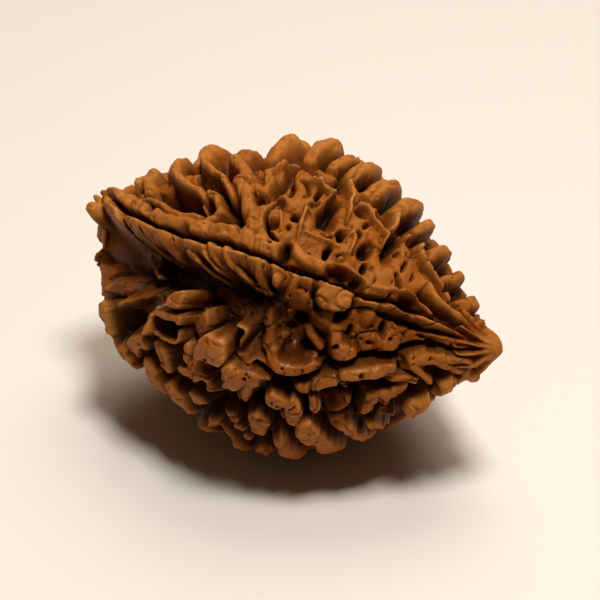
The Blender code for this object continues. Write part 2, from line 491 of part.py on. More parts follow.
# Flat-topped knobs that stand on open ground, and those the bead rests on: x, degrees, top, eight radii
ISLANDS = (
    (5.85, 42.4, -.3, (.95, .8, .62, .95, .95, .85, .68, .8)),
    (-3.7, 22.5, -.35, (.5, .95, .55, .45, .5, .8, .5, .45)),
    (-1.9, 16.5, -1.0, (.33, .5, .9, .5, .33, .45, .8, .45)),
    (-.5, 10, -.1, (1.05, 1.15, 1.05, .85, .85, 1.3, .8, 1.0)),
    (-2.55, 3, -.7, (.33, .42, .75, .45, .33, .45, .8, .45)),
    (1.1, 1, -.25, (.6, .7, 1.0, .8, .75, .7, .9, .7)),
    (2.5, 1, -.3, (.75, .55, .5, .6, .9, .6, .5, .7)),
    (1.6, -8.5, -.75, (.3, .4, .72, .4, .3, .4, .75, .4)),
    (3.4, -8, -.2, (.6, .5, .6, .5, .5, .55, .6, .6)),
    (4.35, -15, -.25, (.45, .5, 1.3, .7, .42, .5, 1.2, .5)),
    (5.45, -10.5, -.35, (.32, .4, .62, .4, .32, .4, .65, .4)),
    # Knobs the bead rests on
    (-2.4, -100, .1, (.9, .8, .8, .8, .9, .8, .8, .8)),
    (-1.9, -79, .1, (.9, .8, .8, .8, .9, .8, .8, .8)),
    (.2, -89, 0, (.9, .8, .9, .8, .9, .8, .9, .8)),
    (2.4, -100, .1, (.9, .8, .8, .8, .9, .8, .8, .8)),
    (2.6, -79, .1, (.9, .8, .8, .8, .9, .8, .8, .8)),
)

# Pits and hollows: x, degrees, half sizes along and round, depth, tilt
PITS = (
    (-13.45, 80, .9, .9, 1.6, 0),
    (-4.15, 64.5, .3, .3, 1.0, 0), (-.95, 57.6, .16, .3, 1.3, 0), (-.75, 70.4, .2, .2, .8, 0),
    (-7.9, 60, .4, .26, .6, 0), (-.15, 80.5, .34, .95, 1.4, 0), (2.0, 68, .18, .2, .9, 0),
    (2.0, 63, .1, .13, .6, 0), (.75, 70.5, .28, .3, .5, 0), (1.0, 61.6, .35, .3, .6, 0),
    (-2.2, 86.2, .16, .5, .7, 0), (-1.6, 91.5, .34, .6, .9, 0), (2.3, 84, .15, .5, .8, 0),
    (3.4, 79, .38, 1.2, 1.5, 0), (3.9, 73, .3, .6, .7, 0), (4.72, 70.8, .3, .36, 1.3, 0),
    (4.9, 87.5, .36, .4, .5, 0), (4.52, 60, .17, .36, 1.2, 0), (2.5, 53, .3, .62, 1.2, 0),
    (5.6, 52.4, .6, .4, 1.0, 0), (6.65, 52.2, .35, .34, .8, 0), (9.3, 54, .62, .62, 1.2, 0),
    (7.25, 84, .4, 1.1, 1.2, 0), (5.52, 83, .12, .3, .8, 0), (5.5, 76.3, .18, .16, .9, 0),
    (6.32, 70.5, .34, .62, 1.2, 0), (6.68, 60.6, .16, .34, 1.0, 0), (7.5, 72, .3, .5, .4, 0),
    (7.76, 79.6, .1, .16, .7, 0), (8.35, 76, .1, .5, .6, 0), (8.92, 73, .1, .3, .5, 0),
    (10.4, 88, .15, .5, .6, 0), (5.8, 92.5, .4, .6, .9, 0), (4.2, 67, .08, .1, .7, 0),
    (8.33, 53.4, .08, .16, .5, 0), (1.5, 54, .09, .08, .6, 0), (4.5, 29, .4, .4, .9, 0),
    (4.0, 23, .26, .26, .7, 0), (5.0, 13.6, .34, .24, .8, 0), (6.4, 34, .24, .36, .9, 0),
    (7.15, 27, .15, .36, .9, 0), (8.7, 32.4, .14, .42, 1.2, 0), (1.3, 33, .4, .4, .6, 0),
    (6.52, 19, .14, .14, .9, 0), (8.2, 21, .14, .12, .5, 0), (9.05, 25.2, .1, .12, .5, 0),
    (-4.55, 7.9, .5, .42, .9, 25), (-.75, 5.6, .18, .07, .6, 20), (1.8, 1.7, .08, .1, .6, 0),
    (7.85, 3.6, .14, .18, .4, 0), (2.6, 80, .12, .2, .5, 0), (-5.6, 35, .8, .5, .5, 0),
    (3.0, -1.5, .3, .5, .6, 0), (6.7, -9, .5, .3, .8, 0),
)

# Cracks and creases of the side that shows: points (x, degrees), half width, depth
CRACKS = (
    (((.25, 73), (.1, 70.5), (.08, 67.5), (.2, 64), (.6, 61), (1.2, 58.6), (1.75, 57)), .08, 1.1),
    (((0, 90), (.35, 85), (.7, 80.5), (.9, 77)), .1, .8),
    (((1.0, 85.5), (1.5, 84.6), (1.7, 82), (1.65, 79)), .11, .45),
    (((8.25, 66), (8.45, 63), (8.6, 59.2)), .11, .7),
    (((9.8, 63), (10.4, 60), (11.1, 56.5), (12, 54.5), (13, 54.5)), .26, .8),
    (((8.2, 45), (8.8, 42.3), (9.4, 40.6), (10.2, 39.5), (11.2, 39), (12.4, 39), (13.2, 40)), .2, .8),
    (((10.3, 31), (11.2, 30), (12.3, 29), (13.2, 28.5)), .16, .5),
    (((-4.5, 51), (-4.62, 47.5), (-4.4, 43.5)), .22, .9),
    (((1.95, 48), (2.05, 43), (2.3, 38)), .12, .6),
    (((4.6, 47.5), (4.85, 42), (5.15, 36)), .12, .6),
    (((6.9, 47), (6.82, 42), (6.7, 36)), .13, .7),
    (((-6.5, 24), (-6.45, 20), (-6.6, 15.5)), .09, .5),
    (((-4.3, 17.2), (-3.7, 18.2), (-3.1, 19)), .12, .6),
    (((-4.9, 9.6), (-4.2, 10.6), (-3.5, 12.6)), .12, .6),
    (((4.12, -11), (4.4, -9.6)), .06, .4),
    (((5.45, 3), (5.4, -6)), .08, .35), (((6.75, 6), (6.85, -4)), .08, .35),
    (((9.45, 10.5), (9.62, -1)), .09, .6), (((7.0, .5), (7.7, -1.9), (8.6, -2.2), (9.2, -1)), .1, .5),
    (((.55, 43.5), (.35, 46.5)), .1, .3), (((-2.8, 47.5), (-2.2, 43), (-1.4, 40)), .1, .35),
)

# The rule for what the marks above leave bare: folded lobes of one to three knobs each
LOBE_PITCH = 1.8
LOBE_JITTER = 0.36
LOBE_JOIN = 2.6
LOBE_CLEAR = 1.45
DOME_DEPTH = 0.5
DOME_STEEPNESS = 3.0
FOLD_DEPTH = (0.35, 1.0, 1.9)
FOLD_WIDTH = 0.33
FOLD_SHARPNESS = 1.5
LOBE_WANDER = 1.8

# Lobes placed by hand, each a chain of places that it grows along: top, places (x, degrees)
FOLDS = (
    # Left of the trough and along the left outline
    (-.1, ((-7.75, 15.5), (-7.6, 11))), (-.5, ((-5.9, 20),)), (-.3, ((-10.3, 25),)),
    (-.45, ((-10.1, 9),)), (-.05, ((-9.8, -8), (-9.5, -15))), (-.25, ((-7.2, -2), (-6.2, -7), (-6.9, -12))),
    (-.5, ((-4.6, -4), (-4.4, -9))), (-.1, ((-8.2, -24), (-7.7, -30))), (-.1, ((-5.4, -19), (-5.3, -27))),
    (-.15, ((-3.8, -24), (-3.5, -31))), (-.2, ((-6.2, -38), (-5.6, -44))),
    # Under the large island, then the fluted lobes that make the lower outline
    (-.6, ((-2.2, -6), (-1.2, -8))), (-.4, ((-1.7, -16), (-1.5, -20))),
    (-.15, ((-.7, -26), (-.5, -33), (-.5, -41), (-.4, -50))), (-.45, ((.85, -21), (.9, -28), (1.0, -35))),
    (-.3, ((2.05, -19), (2.1, -26), (2.1, -33))), (-.1, ((1.5, -44), (1.6, -52), (1.6, -60))),
    (-.05, ((-2.4, -43), (-2.2, -50), (-2.2, -58))),
    (.15, ((3.4, -31), (3.4, -39), (3.35, -47), (3.3, -55), (3.3, -63))),
    (.05, ((5.1, -27), (5.1, -35), (5.1, -43), (5.1, -52), (5.1, -61))), (-.75, ((6.6, -15), (6.7, -19))),
    (.05, ((6.8, -28), (7.0, -36), (7.1, -45), (7.1, -55))), (.1, ((8.25, -36), (8.4, -46), (8.5, -57))),
    (-.5, ((8.1, -21), (9.1, -20), (8.7, -27))), (0, ((10.1, -40), (10.0, -52), (9.9, -64))),
    (-.05, ((11.7, -50), (11.6, -66))),
    # Broad lobes between the pitted face and the outline
    (-.35, ((-7.7, 93),)), (-.4, ((-5.6, 96), (-5.3, 99))), (-.35, ((-3.2, 101),)), (-.3, ((-1.2, 104),)),
    (-.35, ((.6, 107),)), (-.25, ((2.4, 110), (2.6, 113))), (-.3, ((3.9, 112), (4.1, 116))),
    (-.25, ((5.2, 111), (5.4, 117))), (-.3, ((6.6, 113), (6.8, 120))), (-.35, ((8.0, 115), (8.2, 123))),
    (-.4, ((9.5, 117), (9.6, 126))), (-.3, ((11.1, 116), (11.2, 126))), (-.45, ((1.6, 99),)),
    (-.4, ((3.6, 101),)), (-.4, ((5.6, 100),)), (-.35, ((7.4, 101),)), (-.3, ((9.2, 103),)),
)

# Where the marks set on open ground begin, below and above: (x, degrees)
OPEN_BELOW = ((-9.6, 33), (-6.7, 29), (-5.4, 12), (-4.8, 1), (-3.2, -1), (-.2, -2), (.3, -13),
              (5.8, -13), (7.0, -9), (9.5, -12), (12.0, -10))
OPEN_ABOVE = ((-9.6, 88), (-6, 92), (0, 97), (6, 97), (12.6, 97))
SHOWN_X = (-9.6, 12.6)
SHOWN_EDGE = 0.7
SHOWN_SINK = 0.75
SEAM_LIP_OFFSET = 0.5


def lobe_seeds(sheet, rng):
    """Knob centres in jittered rows: (along, turn, lobe number, top of the lobe)."""
    seeds = []
    for row in np.arange(0.8, sheet.along[-1] - 0.4, LOBE_PITCH):
        radius = np.interp(row, sheet.along, sheet.radius)
        count = max(4, int(round(2 * math.pi * radius / LOBE_PITCH)))
        phase = rng.uniform()
        for k in range(count):
            along = row + LOBE_JITTER * LOBE_PITCH * rng.uniform(-1, 1)
            turn = 2 * math.pi * ((k + phase + LOBE_JITTER * rng.uniform(-1, 1)) / count % 1.0) - math.pi
            seeds.append([along, turn, len(seeds), -0.55 * rng.uniform() ** 1.5])
    placed = [[sheet.row_of(x), math.radians(t), -1 - i, top]
              for i, (top, chain) in enumerate(FOLDS) for x, t in chain]
    seeds = [s for s in seeds if clearance(sheet, s, placed).min() > LOBE_CLEAR]
    for i in rng.permutation(len(seeds)):
        gaps = clearance(sheet, seeds[i], seeds)
        near = int(np.argsort(gaps)[1])
        sizes = [s[2] for s in seeds]
        if gaps[near] < LOBE_JOIN and sizes.count(seeds[near][2]) < 3 and sizes.count(seeds[i][2]) == 1:
            seeds[i][2], seeds[i][3] = seeds[near][2], seeds[near][3]
    return placed + seeds


def clearance(sheet, seed, others):
    """How far each of the other seeds lies from this one."""
    others = np.array(others)
    radius = np.interp(seed[0], sheet.along, sheet.radius)
    return np.hypot(others[:, 0] - seed[0], turn_gap(others[:, 1], seed[1]) * radius)


def turn_gap(a, b):
    """The smaller turn between two places round the bead."""
    return (a - b + math.pi) % (2 * math.pi) - math.pi


def lobes(sheet, rng):
    """Rounded lobes that meet in deep folds, with shallow creases inside a lobe."""
    shape = sheet.height.shape
    near, other = np.full(shape, 9.0), np.full(shape, 9.0)
    owner, top = np.full(shape, 9999), np.zeros(shape)
    reach = 2.4 * LOBE_PITCH
    for along, turn, lobe, crown in lobe_seeds(sheet, rng):
        rows, columns, turns = sheet.window(np.array([[along, turn]]), reach)
        grid = np.ix_(rows, columns)
        u = sheet.along[rows][:, None] - along + LOBE_WANDER * sheet.wander_along[grid]
        v = (turns[None, :] - turn) * sheet.radius[rows][:, None] + LOBE_WANDER * sheet.wander_round[grid]
        off = np.hypot(u, v)
        same = owner[grid] == lobe
        first = off < near[grid]
        second = ~first & ~same & (off < other[grid])
        other[grid] = np.where(first & ~same, near[grid], np.where(second, off, other[grid]))
        near[grid] = np.where(first, off, near[grid])
        owner[grid] = np.where(first, lobe, owner[grid])
        top[grid] = np.where(first, crown, top[grid])
    dome = DOME_DEPTH * (near / np.maximum(other, near)) ** DOME_STEEPNESS
    rim = np.maximum(other - near, 0.0) / 2.0
    shallow, blunt_end, middle = FOLD_DEPTH
    deepest = blunt_end + (middle - blunt_end) * ease((sheet.x[:, None] + 8.5) / 6.0)
    depth = shallow + (deepest - shallow) * ease(0.75 + 0.9 * cell_noise(sheet.skin, 2.2, 31))
    return top - dome - depth * np.exp(-(rim / FOLD_WIDTH) ** FOLD_SHARPNESS)


def shown_share(sheet):
    """1 where the marks placed by hand cover the bead, easing to 0 outside."""
    low = np.radians(np.interp(sheet.x, *zip(*OPEN_BELOW)))[:, None]
    high = np.radians(np.interp(sheet.x, *zip(*OPEN_ABOVE)))[:, None]
    round_in = np.minimum(sheet.turn[None, :] - low, high - sheet.turn[None, :]) * sheet.radius[:, None]
    along_in = np.minimum(sheet.x - SHOWN_X[0], SHOWN_X[1] - sheet.x)[:, None]
    return ease(np.minimum(round_in, along_in) / SHOWN_EDGE + 0.5)


def hidden_seam(sheet, seam, rng):
    """A cracked seam with a beaded lip on either side."""
    for side in (-1, 1):
        points = []
        for x in np.arange(-12.8, 13.1, 0.8):
            turn = np.interp(x, [p[0] for p in seam], [p[1] for p in seam])
            radius = max(1.0, np.interp(x, sheet.x, sheet.radius))
            offset = (SEAM_LIP_OFFSET + rng.uniform(-0.1, 0.1)) * side / radius
            points.append((x, turn + math.degrees(offset), -0.25 - 0.3 * rng.uniform()))
        sheet.ridge(points, 0.42, 2.8)
    sheet.crack(seam, 0.13, 1.1)


def relief(sheet):
    """Lay every mark on the sheet, lowest first."""
    rng = np.random.default_rng(7)
    shown = shown_share(sheet)
    lumps = lobes(sheet, rng)
    sheet.height = lumps + (np.maximum(0.4 * lumps, VALLEY) - SHOWN_SINK - lumps) * shown
    for path, half_width, drop in SLUMPS[1:]:
        sheet.slump(path, half_width, drop)
    for path, half_width, level in GROUND:
        sheet.ground(path, half_width, level)
    for seam in HIDDEN_SEAMS:
        hidden_seam(sheet, seam, rng)
    lower_lip(sheet)
    for x, degrees, half_along, half_round, top, power, tilt in KNOBS:
        sheet.knob(x, degrees, half_along, half_round, top, power, tilt)
    for x, degrees, top, radii in ISLANDS:
        sheet.island(x, degrees, top, radii)
    for points, half_width, power in RIDGES:
        sheet.ridge(points, half_width, power)
    sheet.crack(UPPER_SEAM, 0.13, 1.0)
    sheet.crack(LOWER_SEAM, 0.17, 1.5)
    for x, degrees, half_along, half_round, depth, tilt in PITS:
        sheet.pit(x, degrees, half_along, half_round, depth, tilt)
    for points, half_width, depth in CRACKS:
        sheet.crack(points, half_width, depth)
    sheet.height += 0.15 * cell_noise(sheet.skin, 0.9, 21) + 0.06 * cell_noise(sheet.skin, 0.4, 22)
    for path, half_width, drop in SLUMPS[:1]:
        sheet.slump(path, half_width, drop)
    sheet.height = soft_max(sheet.height, -np.minimum(DEEPEST, 0.3 + 0.42 * sheet.round), 0.5)
    beak = ease(0.12 + 0.88 * sheet.round / FULL_RELIEF_RADIUS)
    sheet.height *= np.where(sheet.x[:, None] > 0, beak, ease(sheet.round / 1.2))
    return sheet


def sphere_places(subdivisions, sheet):
    """A ball of near-equal triangles: its mesh and where its points lie on the sheet."""
    bpy.ops.mesh.primitive_ico_sphere_add(subdivisions=subdivisions, radius=1.0)
    ball = bpy.context.active_object
    flat = np.empty(3 * len(ball.data.vertices))
    ball.data.vertices.foreach_get("co", flat)
    spots = flat.reshape(-1, 3)
    spots /= np.linalg.norm(spots, axis=1)[:, None]
    along = np.arccos(np.clip(-spots[:, 0], -1, 1)) / math.pi * sheet.along[-1]
    turn = np.arctan2(spots[:, 2], -spots[:, 1])
    return ball, along, turn


def sample(sheet, field, along, turn):
    """Read a field of the sheet between its rows and columns."""
    rows, columns = field.shape[:2]
    row = np.clip(along / sheet.along[-1] * (rows - 1), 0, rows - 1.001)
    column = (turn + math.pi) / (2 * math.pi) * columns
    r0, c0 = np.floor(row).astype(int), np.floor(column).astype(int)
    fr, fc = row - r0, column - c0
    if field.ndim == 3:
        fr, fc = fr[:, None], fc[:, None]
    c1, c0 = (c0 + 1) % columns, c0 % columns
    near = field[r0, c0] * (1 - fc) + field[r0, c1] * fc
    far = field[r0 + 1, c0] * (1 - fc) + field[r0 + 1, c1] * fc
    return near * (1 - fr) + far * fr


def soften(field, rounds):
    """Blur the sheet's relief a little, so that the thinned mesh can follow it."""
    for _ in range(rounds):
        beside = 0.5 * (np.roll(field, 1, axis=1) + np.roll(field, -1, axis=1))
        ends = np.pad(field, ((1, 1), (0, 0)), mode="edge")
        field = 0.5 * field + 0.25 * beside + 0.125 * (ends[:-2] + ends[2:])
    return field


def tangled(solid):
    """The points of the faces that cross or fold over one another."""
    tree = BVHTree.FromBMesh(solid)
    knots = set()
    for a, b in tree.overlap(tree):
        first, second = solid.faces[a].verts, solid.faces[b].verts
        if not set(first) & set(second):
            knots.update(first)
            knots.update(second)
    for edge in solid.edges:
        if edge.calc_face_angle(0.0) > FOLD_LIMIT:
            for face in edge.link_faces:
                knots.update(face.verts)
    return knots


def untangle(mesh):
    """Ease the few tangled places of the thinned mesh apart."""
    solid = bmesh.new()
    solid.from_mesh(mesh)
    for _ in range(EASING_ROUNDS):
        solid.verts.ensure_lookup_table()
        solid.faces.ensure_lookup_table()
        knots = tangled(solid)
        if not knots:
            break
        eased = {}
        for point in knots:
            ring = [edge.other_vert(point).co for edge in point.link_edges]
            middle = ring[0] * 0.0
            for place in ring:
                middle = middle + place / len(ring)
            eased[point] = point.co.lerp(middle, 0.5)
        for point, place in eased.items():
            point.co = place
    print("tangled points left", len(knots))
    solid.to_mesh(mesh)
    solid.free()


def wood():
    """Oiled brown stone of the fruit."""
    material = bpy.data.materials.new("bead_wood")
    material.use_nodes = True
    shader = material.node_tree.nodes["Principled BSDF"]
    shader.inputs["Base Color"].default_value = WOOD_COLOUR
    shader.inputs["Roughness"].default_value = WOOD_ROUGHNESS
    return material


def rest_on_ground(mesh):
    """Flatten the lowest knobs where the bead rests."""
    flat = np.empty(3 * len(mesh.vertices))
    mesh.vertices.foreach_get("co", flat)
    places = flat.reshape(-1, 3)
    places[:, 2] = np.maximum(places[:, 2], 0.0)
    mesh.vertices.foreach_set("co", places.ravel())
    mesh.update()


def bead():
    """Wrap the sheet round the ball, thin the mesh and rest the lowest knobs on the ground."""
    sheet = relief(Sheet(SHEET_ROWS, SHEET_COLUMNS))
    sheet.height = soften(sheet.height, SOFTENING_ROUNDS)
    ball, along, turn = sphere_places(SPHERE_SUBDIVISIONS, sheet)
    places = sample(sheet, sheet.points(sheet.height), along, turn)
    places += (CENTRE_SHIFT[0], CENTRE_SHIFT[1], AXIS_HEIGHT)
    ball.data.vertices.foreach_set("co", (places * MM).ravel())
    ball.data.update()
    ball.name = "rudraksha_bead"
    ball.data.name = "rudraksha_bead"
    faces = len(ball.data.polygons)
    thin = ball.modifiers.new("thin", "DECIMATE")
    thin.ratio = SOLID_TRIANGLES / faces
    bpy.ops.object.modifier_apply(modifier=thin.name)
    rest_on_ground(ball.data)
    untangle(ball.data)
    rest_on_ground(ball.data)
    ball.data.shade_smooth()
    ball.data.set_sharp_from_angle(angle=math.radians(50))
    ball.data.materials.append(wood())
    return ball


def main():
    for old in list(bpy.data.objects):
        bpy.data.objects.remove(old)
    solid = bead()
    corners = np.array([v.co for v in solid.data.vertices])
    print("bead", len(solid.data.polygons), "triangles", corners.min(0) / MM, corners.max(0) / MM)


main()
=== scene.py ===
# %% [markdown]
# # A rudraksha bead
# A rudraksha bead is the stone of a small fruit. This long kind has a rounded end, a pointed
# beak, split seams that run from end to end, and a skin of knobs, folds and fins as tall as a
# tenth of the bead. The lesson builds it as one closed mesh, paints it with procedural nodes
# and lights it softly from above.

# %% The tools and the frame
import math

import bpy
import numpy as np
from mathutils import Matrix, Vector


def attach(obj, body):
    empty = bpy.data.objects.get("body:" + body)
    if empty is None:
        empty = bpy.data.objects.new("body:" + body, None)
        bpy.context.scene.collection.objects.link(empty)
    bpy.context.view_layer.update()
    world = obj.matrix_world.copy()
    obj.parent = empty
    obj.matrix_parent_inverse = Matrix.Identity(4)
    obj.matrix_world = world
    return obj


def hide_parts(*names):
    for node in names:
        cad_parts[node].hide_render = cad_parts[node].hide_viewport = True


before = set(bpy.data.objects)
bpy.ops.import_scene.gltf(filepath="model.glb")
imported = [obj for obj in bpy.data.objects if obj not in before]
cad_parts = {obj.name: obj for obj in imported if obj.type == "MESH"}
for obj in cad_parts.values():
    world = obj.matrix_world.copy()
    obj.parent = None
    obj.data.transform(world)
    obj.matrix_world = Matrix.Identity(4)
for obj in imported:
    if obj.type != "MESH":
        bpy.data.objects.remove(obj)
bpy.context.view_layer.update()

# %% [markdown]
# ## The bead's own measures
# All lengths are in millimetres and all angles in degrees round the long axis: 0 faces the
# front, 90 is the top and -90 is the bottom. Naming the measures first keeps the bead true to
# the solid that the physics uses.

# %% Measures
MM = 0.001
LENGTH = 27.0
BLUNT_END = -LENGTH / 2
AXIS_HEIGHT = 8.92
BEAK_LIFT = 0.75
BLUNT_LIFT = 1.0
CENTRE_SHIFT = (0.023, 0.078)
# Radius of the knob tips along the bead: (share of the length from the blunt end, radius)
OUTLINE = ((0.0, 0.0), (0.015, 2.2), (0.05, 3.1), (0.11, 5.1), (0.2, 7.0), (0.32, 8.2),
           (0.43, 9.15), (0.53, 9.45), (0.64, 8.6), (0.76, 6.9), (0.87, 4.25), (0.95, 2.3),
           (0.985, 1.3), (1.0, 0.0))
SHEET_ROWS = 900
SHEET_COLUMNS = 1450
BALL_SUBDIVISIONS = 9
SKIN_TRIANGLES = 194000
SCENE_SEED = 7

# %% [markdown]
# ## Small helpers
# Natural relief has no hard steps, so heights are blended: `ease` is a smooth step, `soft_max`
# joins two heights with a rounded valley, and `spline` draws a smooth line through a few
# points, as a draughtsman's curve does.

# %% Helpers
def ease(t):
    """Smooth step from 0 to 1."""
    t = np.clip(t, 0.0, 1.0)
    return t * t * (3.0 - 2.0 * t)


def soft_max(a, b, rounding):
    """The larger of two heights, with the valley between them rounded."""
    gap = np.clip(1.0 - np.abs(a - b) / rounding, 0.0, 1.0)
    return np.maximum(a, b) + 0.25 * rounding * gap * gap


def spline(points, step):
    """Points about a step apart on a smooth curve through the given ones."""
    knots = np.array(points, dtype=float)
    if len(knots) < 3:
        return knots
    padded = np.vstack([2 * knots[0] - knots[1], knots, 2 * knots[-1] - knots[-2]])
    out = []
    for i in range(1, len(padded) - 2):
        p0, p1, p2, p3 = padded[i - 1:i + 3]
        count = max(2, int(math.ceil(np.linalg.norm((p2 - p1)[:2]) / step)))
        for t in np.arange(count) / count:
            out.append(0.5 * (2 * p1 + (p2 - p0) * t + (2 * p0 - 5 * p1 + 4 * p2 - p3) * t * t
                              + (3 * p1 - p0 - 3 * p2 + p3) * t ** 3))
    out.append(knots[-1])
    return np.array(out)

# %% [markdown]
# ## The skin as an unrolled sheet
# Sculpting every knob by hand would take days and couldn't be repeated. A grown skin is easier
# to describe flat, like a map: rows run from the blunt end to the beak, columns run round the
# bead, and each place has a height below the knob tips. The map is wrapped back at the end.

# %% The unrolled sheet
def outline_curve(samples):
    """The meridian of the knob tips: place along the axis, radius and arc length."""
    knots = np.array(OUTLINE)
    x = BLUNT_END + LENGTH * knots[:, 0]
    curve = spline(np.column_stack([x, knots[:, 1]]), 0.05)
    radius = np.maximum(curve[:, 1], 0.0)
    length = np.concatenate([[0.0], np.cumsum(np.hypot(np.diff(curve[:, 0]), np.diff(radius)))])
    even = np.linspace(0.0, length[-1], samples)
    return np.interp(even, length, curve[:, 0]), np.interp(even, length, radius), even


def spine(x):
    """Height of the bead's own axis above the long axis: both ends lift a little."""
    beak = BEAK_LIFT * ease((x - 3.0) / 10.5)
    return beak + BLUNT_LIFT * ease((-8.5 - x) / 5.0)


row_x, row_radius, row_along = outline_curve(SHEET_ROWS)
column_turn = np.linspace(-math.pi, math.pi, SHEET_COLUMNS, endpoint=False)
height = np.zeros((SHEET_ROWS, SHEET_COLUMNS))
girth = row_radius[:, None] * np.ones(SHEET_COLUMNS)
print("the sheet is", round(row_along[-1], 1), "mm long")


def wrapped(lift):
    """The sheet wrapped round the bead, raised by the lift at each place."""
    slope_x = np.gradient(row_x, row_along)
    slope_r = np.gradient(row_radius, row_along)
    scale = np.hypot(slope_x, slope_r)
    x = row_x[:, None] - lift * (slope_r / scale)[:, None]
    r = np.maximum(row_radius[:, None] + lift * (slope_x / scale)[:, None], 0.0)
    return np.stack([x, -r * np.cos(column_turn), r * np.sin(column_turn) + spine(x)], axis=-1)

# %% [markdown]
# ## Wandering lines
# A line drawn by a formula looks drawn. `cell_noise` gives smooth random values in space, and
# two sizes of it push every mark a little sideways, so that no two edges run alike.

# %% Noise and wandering
def cell_noise(points, size, seed):
    """Smooth random values from -1 to 1 in cells of the given size."""
    table = np.random.default_rng(seed).uniform(-1.0, 1.0, (32, 32, 32))
    place = points / size + 16.0
    cell = np.floor(place).astype(int)
    part = ease(place - cell)
    total = 0.0
    for i in (0, 1):
        for j in (0, 1):
            for k in (0, 1):
                value = table[(cell[..., 0] + i) % 32, (cell[..., 1] + j) % 32,
                              (cell[..., 2] + k) % 32]
                weight = np.abs(1 - i - part[..., 0]) * np.abs(1 - j - part[..., 1])
                total = total + value * weight * np.abs(1 - k - part[..., 2])
    return total


skin = wrapped(np.zeros_like(height))


WANDER = 0.22


def wander(seed):
    """Small side steps, in three sizes."""
    return (WANDER * cell_noise(skin, 1.5, seed) + 0.4 * WANDER * cell_noise(skin, 0.6, seed + 1)
            + 0.16 * WANDER * cell_noise(skin, 0.27, seed + 2))


wander_along = wander(11)
wander_round = wander(13)
print("marks wander by up to", round(float(np.abs(wander_along).max()), 2), "mm")

# %% [markdown]
# ## Finding a place on the sheet
# Each mark only touches a small window of the sheet. `window` cuts that window out, `to_path`
# turns (x, degrees) into the sheet's own lengths, and `nearest` measures how far each place in
# the window lies from a path and how high the path is there.

# %% Windows and distances
MEAN_RADIUS = 8.0


def row_of(x):
    """Where a place along the axis lies on the sheet."""
    return np.interp(x, row_x, row_along)


def window(path, reach):
    """The part of the sheet within reach of a path of (along, turn) points."""
    low, high = path[:, 0].min() - reach, path[:, 0].max() + reach
    first = max(0, np.searchsorted(row_along, low) - 1)
    last = min(len(row_along), np.searchsorted(row_along, high) + 1)
    rows = np.arange(first, last)
    radius = max(1.0, np.interp(path[:, 0], row_along, row_radius).min() - 0.3 * reach)
    spread = reach / radius
    columns = len(column_turn)
    step = 2 * math.pi / columns
    start = int(math.floor((path[:, 1].min() - spread + math.pi) / step))
    stop = int(math.ceil((path[:, 1].max() + spread + math.pi) / step))
    stop = min(stop, start + columns - 1)
    index = np.arange(start, stop + 1)
    return rows, index % columns, -math.pi + step * index


def around(along, turn, reach):
    """The window round one place, with the steps along and round from that place."""
    rows, columns, turns = window(np.array([[along, turn]]), reach)
    steps_along = row_along[rows][:, None] - along
    steps_round = (turns[None, :] - turn) * row_radius[rows][:, None]
    return np.ix_(rows, columns), steps_along, steps_round


def to_path(points, step=0.45):
    """A path given as (x, degrees, ...) on the sheet as (along, turn, ...)."""
    path = np.array(points, dtype=float)
    path[:, 0] = row_of(path[:, 0])
    path[:, 1] = np.radians(path[:, 1])
    path[:, 1] *= MEAN_RADIUS
    path = spline(path, step)
    path[:, 1] /= MEAN_RADIUS
    return path


def plain_path(points):
    """A path of (x, degrees) points that has no height of its own."""
    return to_path([(x, degrees, 0.0) for x, degrees in points])


def beside(rows, turn, a, b, reach):
    """The slices of a window that lie within reach of one straight piece of a path."""
    along = row_along[rows]
    low, high = min(a[0], b[0]) - reach, max(a[0], b[0]) + reach
    first, last = np.searchsorted(along, (low, high))
    radius = max(0.8, np.interp((a[0], b[0]), row_along, row_radius).min() - 0.4 * reach)
    west, east = min(a[1], b[1]) - reach / radius, max(a[1], b[1]) + reach / radius
    left, right = np.searchsorted(turn, (west, east))
    return slice(first, last), slice(left, right)


def nearest(path, reach):
    """Distance to a path, and the path's third value at the nearest place."""
    rows, columns, turn = window(path, reach)
    grid = np.ix_(rows, columns)
    radius = np.maximum(row_radius[rows], 0.3)[:, None]
    u = row_along[rows][:, None] + wander_along[grid]
    v = turn[None, :] * radius + wander_round[grid]
    best = np.full(u.shape, 1e9)
    extra = np.zeros(u.shape)
    for a, b in zip(path[:-1], path[1:]):
        box = beside(rows, turn, a, b, reach + 0.2)
        du, dv = b[0] - a[0], (b[1] - a[1]) * radius[box[0]]
        pu, pv = u[box] - a[0], v[box] - a[1] * radius[box[0]]
        share = np.clip((pu * du + pv * dv) / (du * du + dv * dv + 1e-9), 0.0, 1.0)
        off = np.hypot(pu - share * du, pv - share * dv)
        closer = off < best[box]
        best[box] = np.where(closer, off, best[box])
        extra[box] = np.where(closer, a[2] + share * (b[2] - a[2]), extra[box])
    return grid, best, extra

# %% [markdown]
# ## The marks
# Six kinds of mark are enough for the whole skin. Ridges make lips, fins and folds; knobs are
# domes; islands are flat-topped with steep sides, given by eight radii; pits and cracks are
# sunk; slump and ground lower or level a stretch. `soft_max` lets new marks grow out of old
# ones as if they were one piece.

# %% Raised marks
FLANK = 1.7
ROUNDING = 0.24
KNOB_SPREAD = 1.2
SKIRT_DROP = 0.6
SKIRT_SPREAD = 1.35
SKIRT_FOOT = 0.42
SKIRT_POWER = 1.8
FULLNESS = 1.0
BREADTH = 1.3
ISLAND_EDGE = 0.2
ISLAND_ROUND = 0.13
ISLAND_WALL = 11.0
ISLAND_FOOT = 1.6
EIGHT_WAYS = np.radians(np.arange(-180, 180, 45))


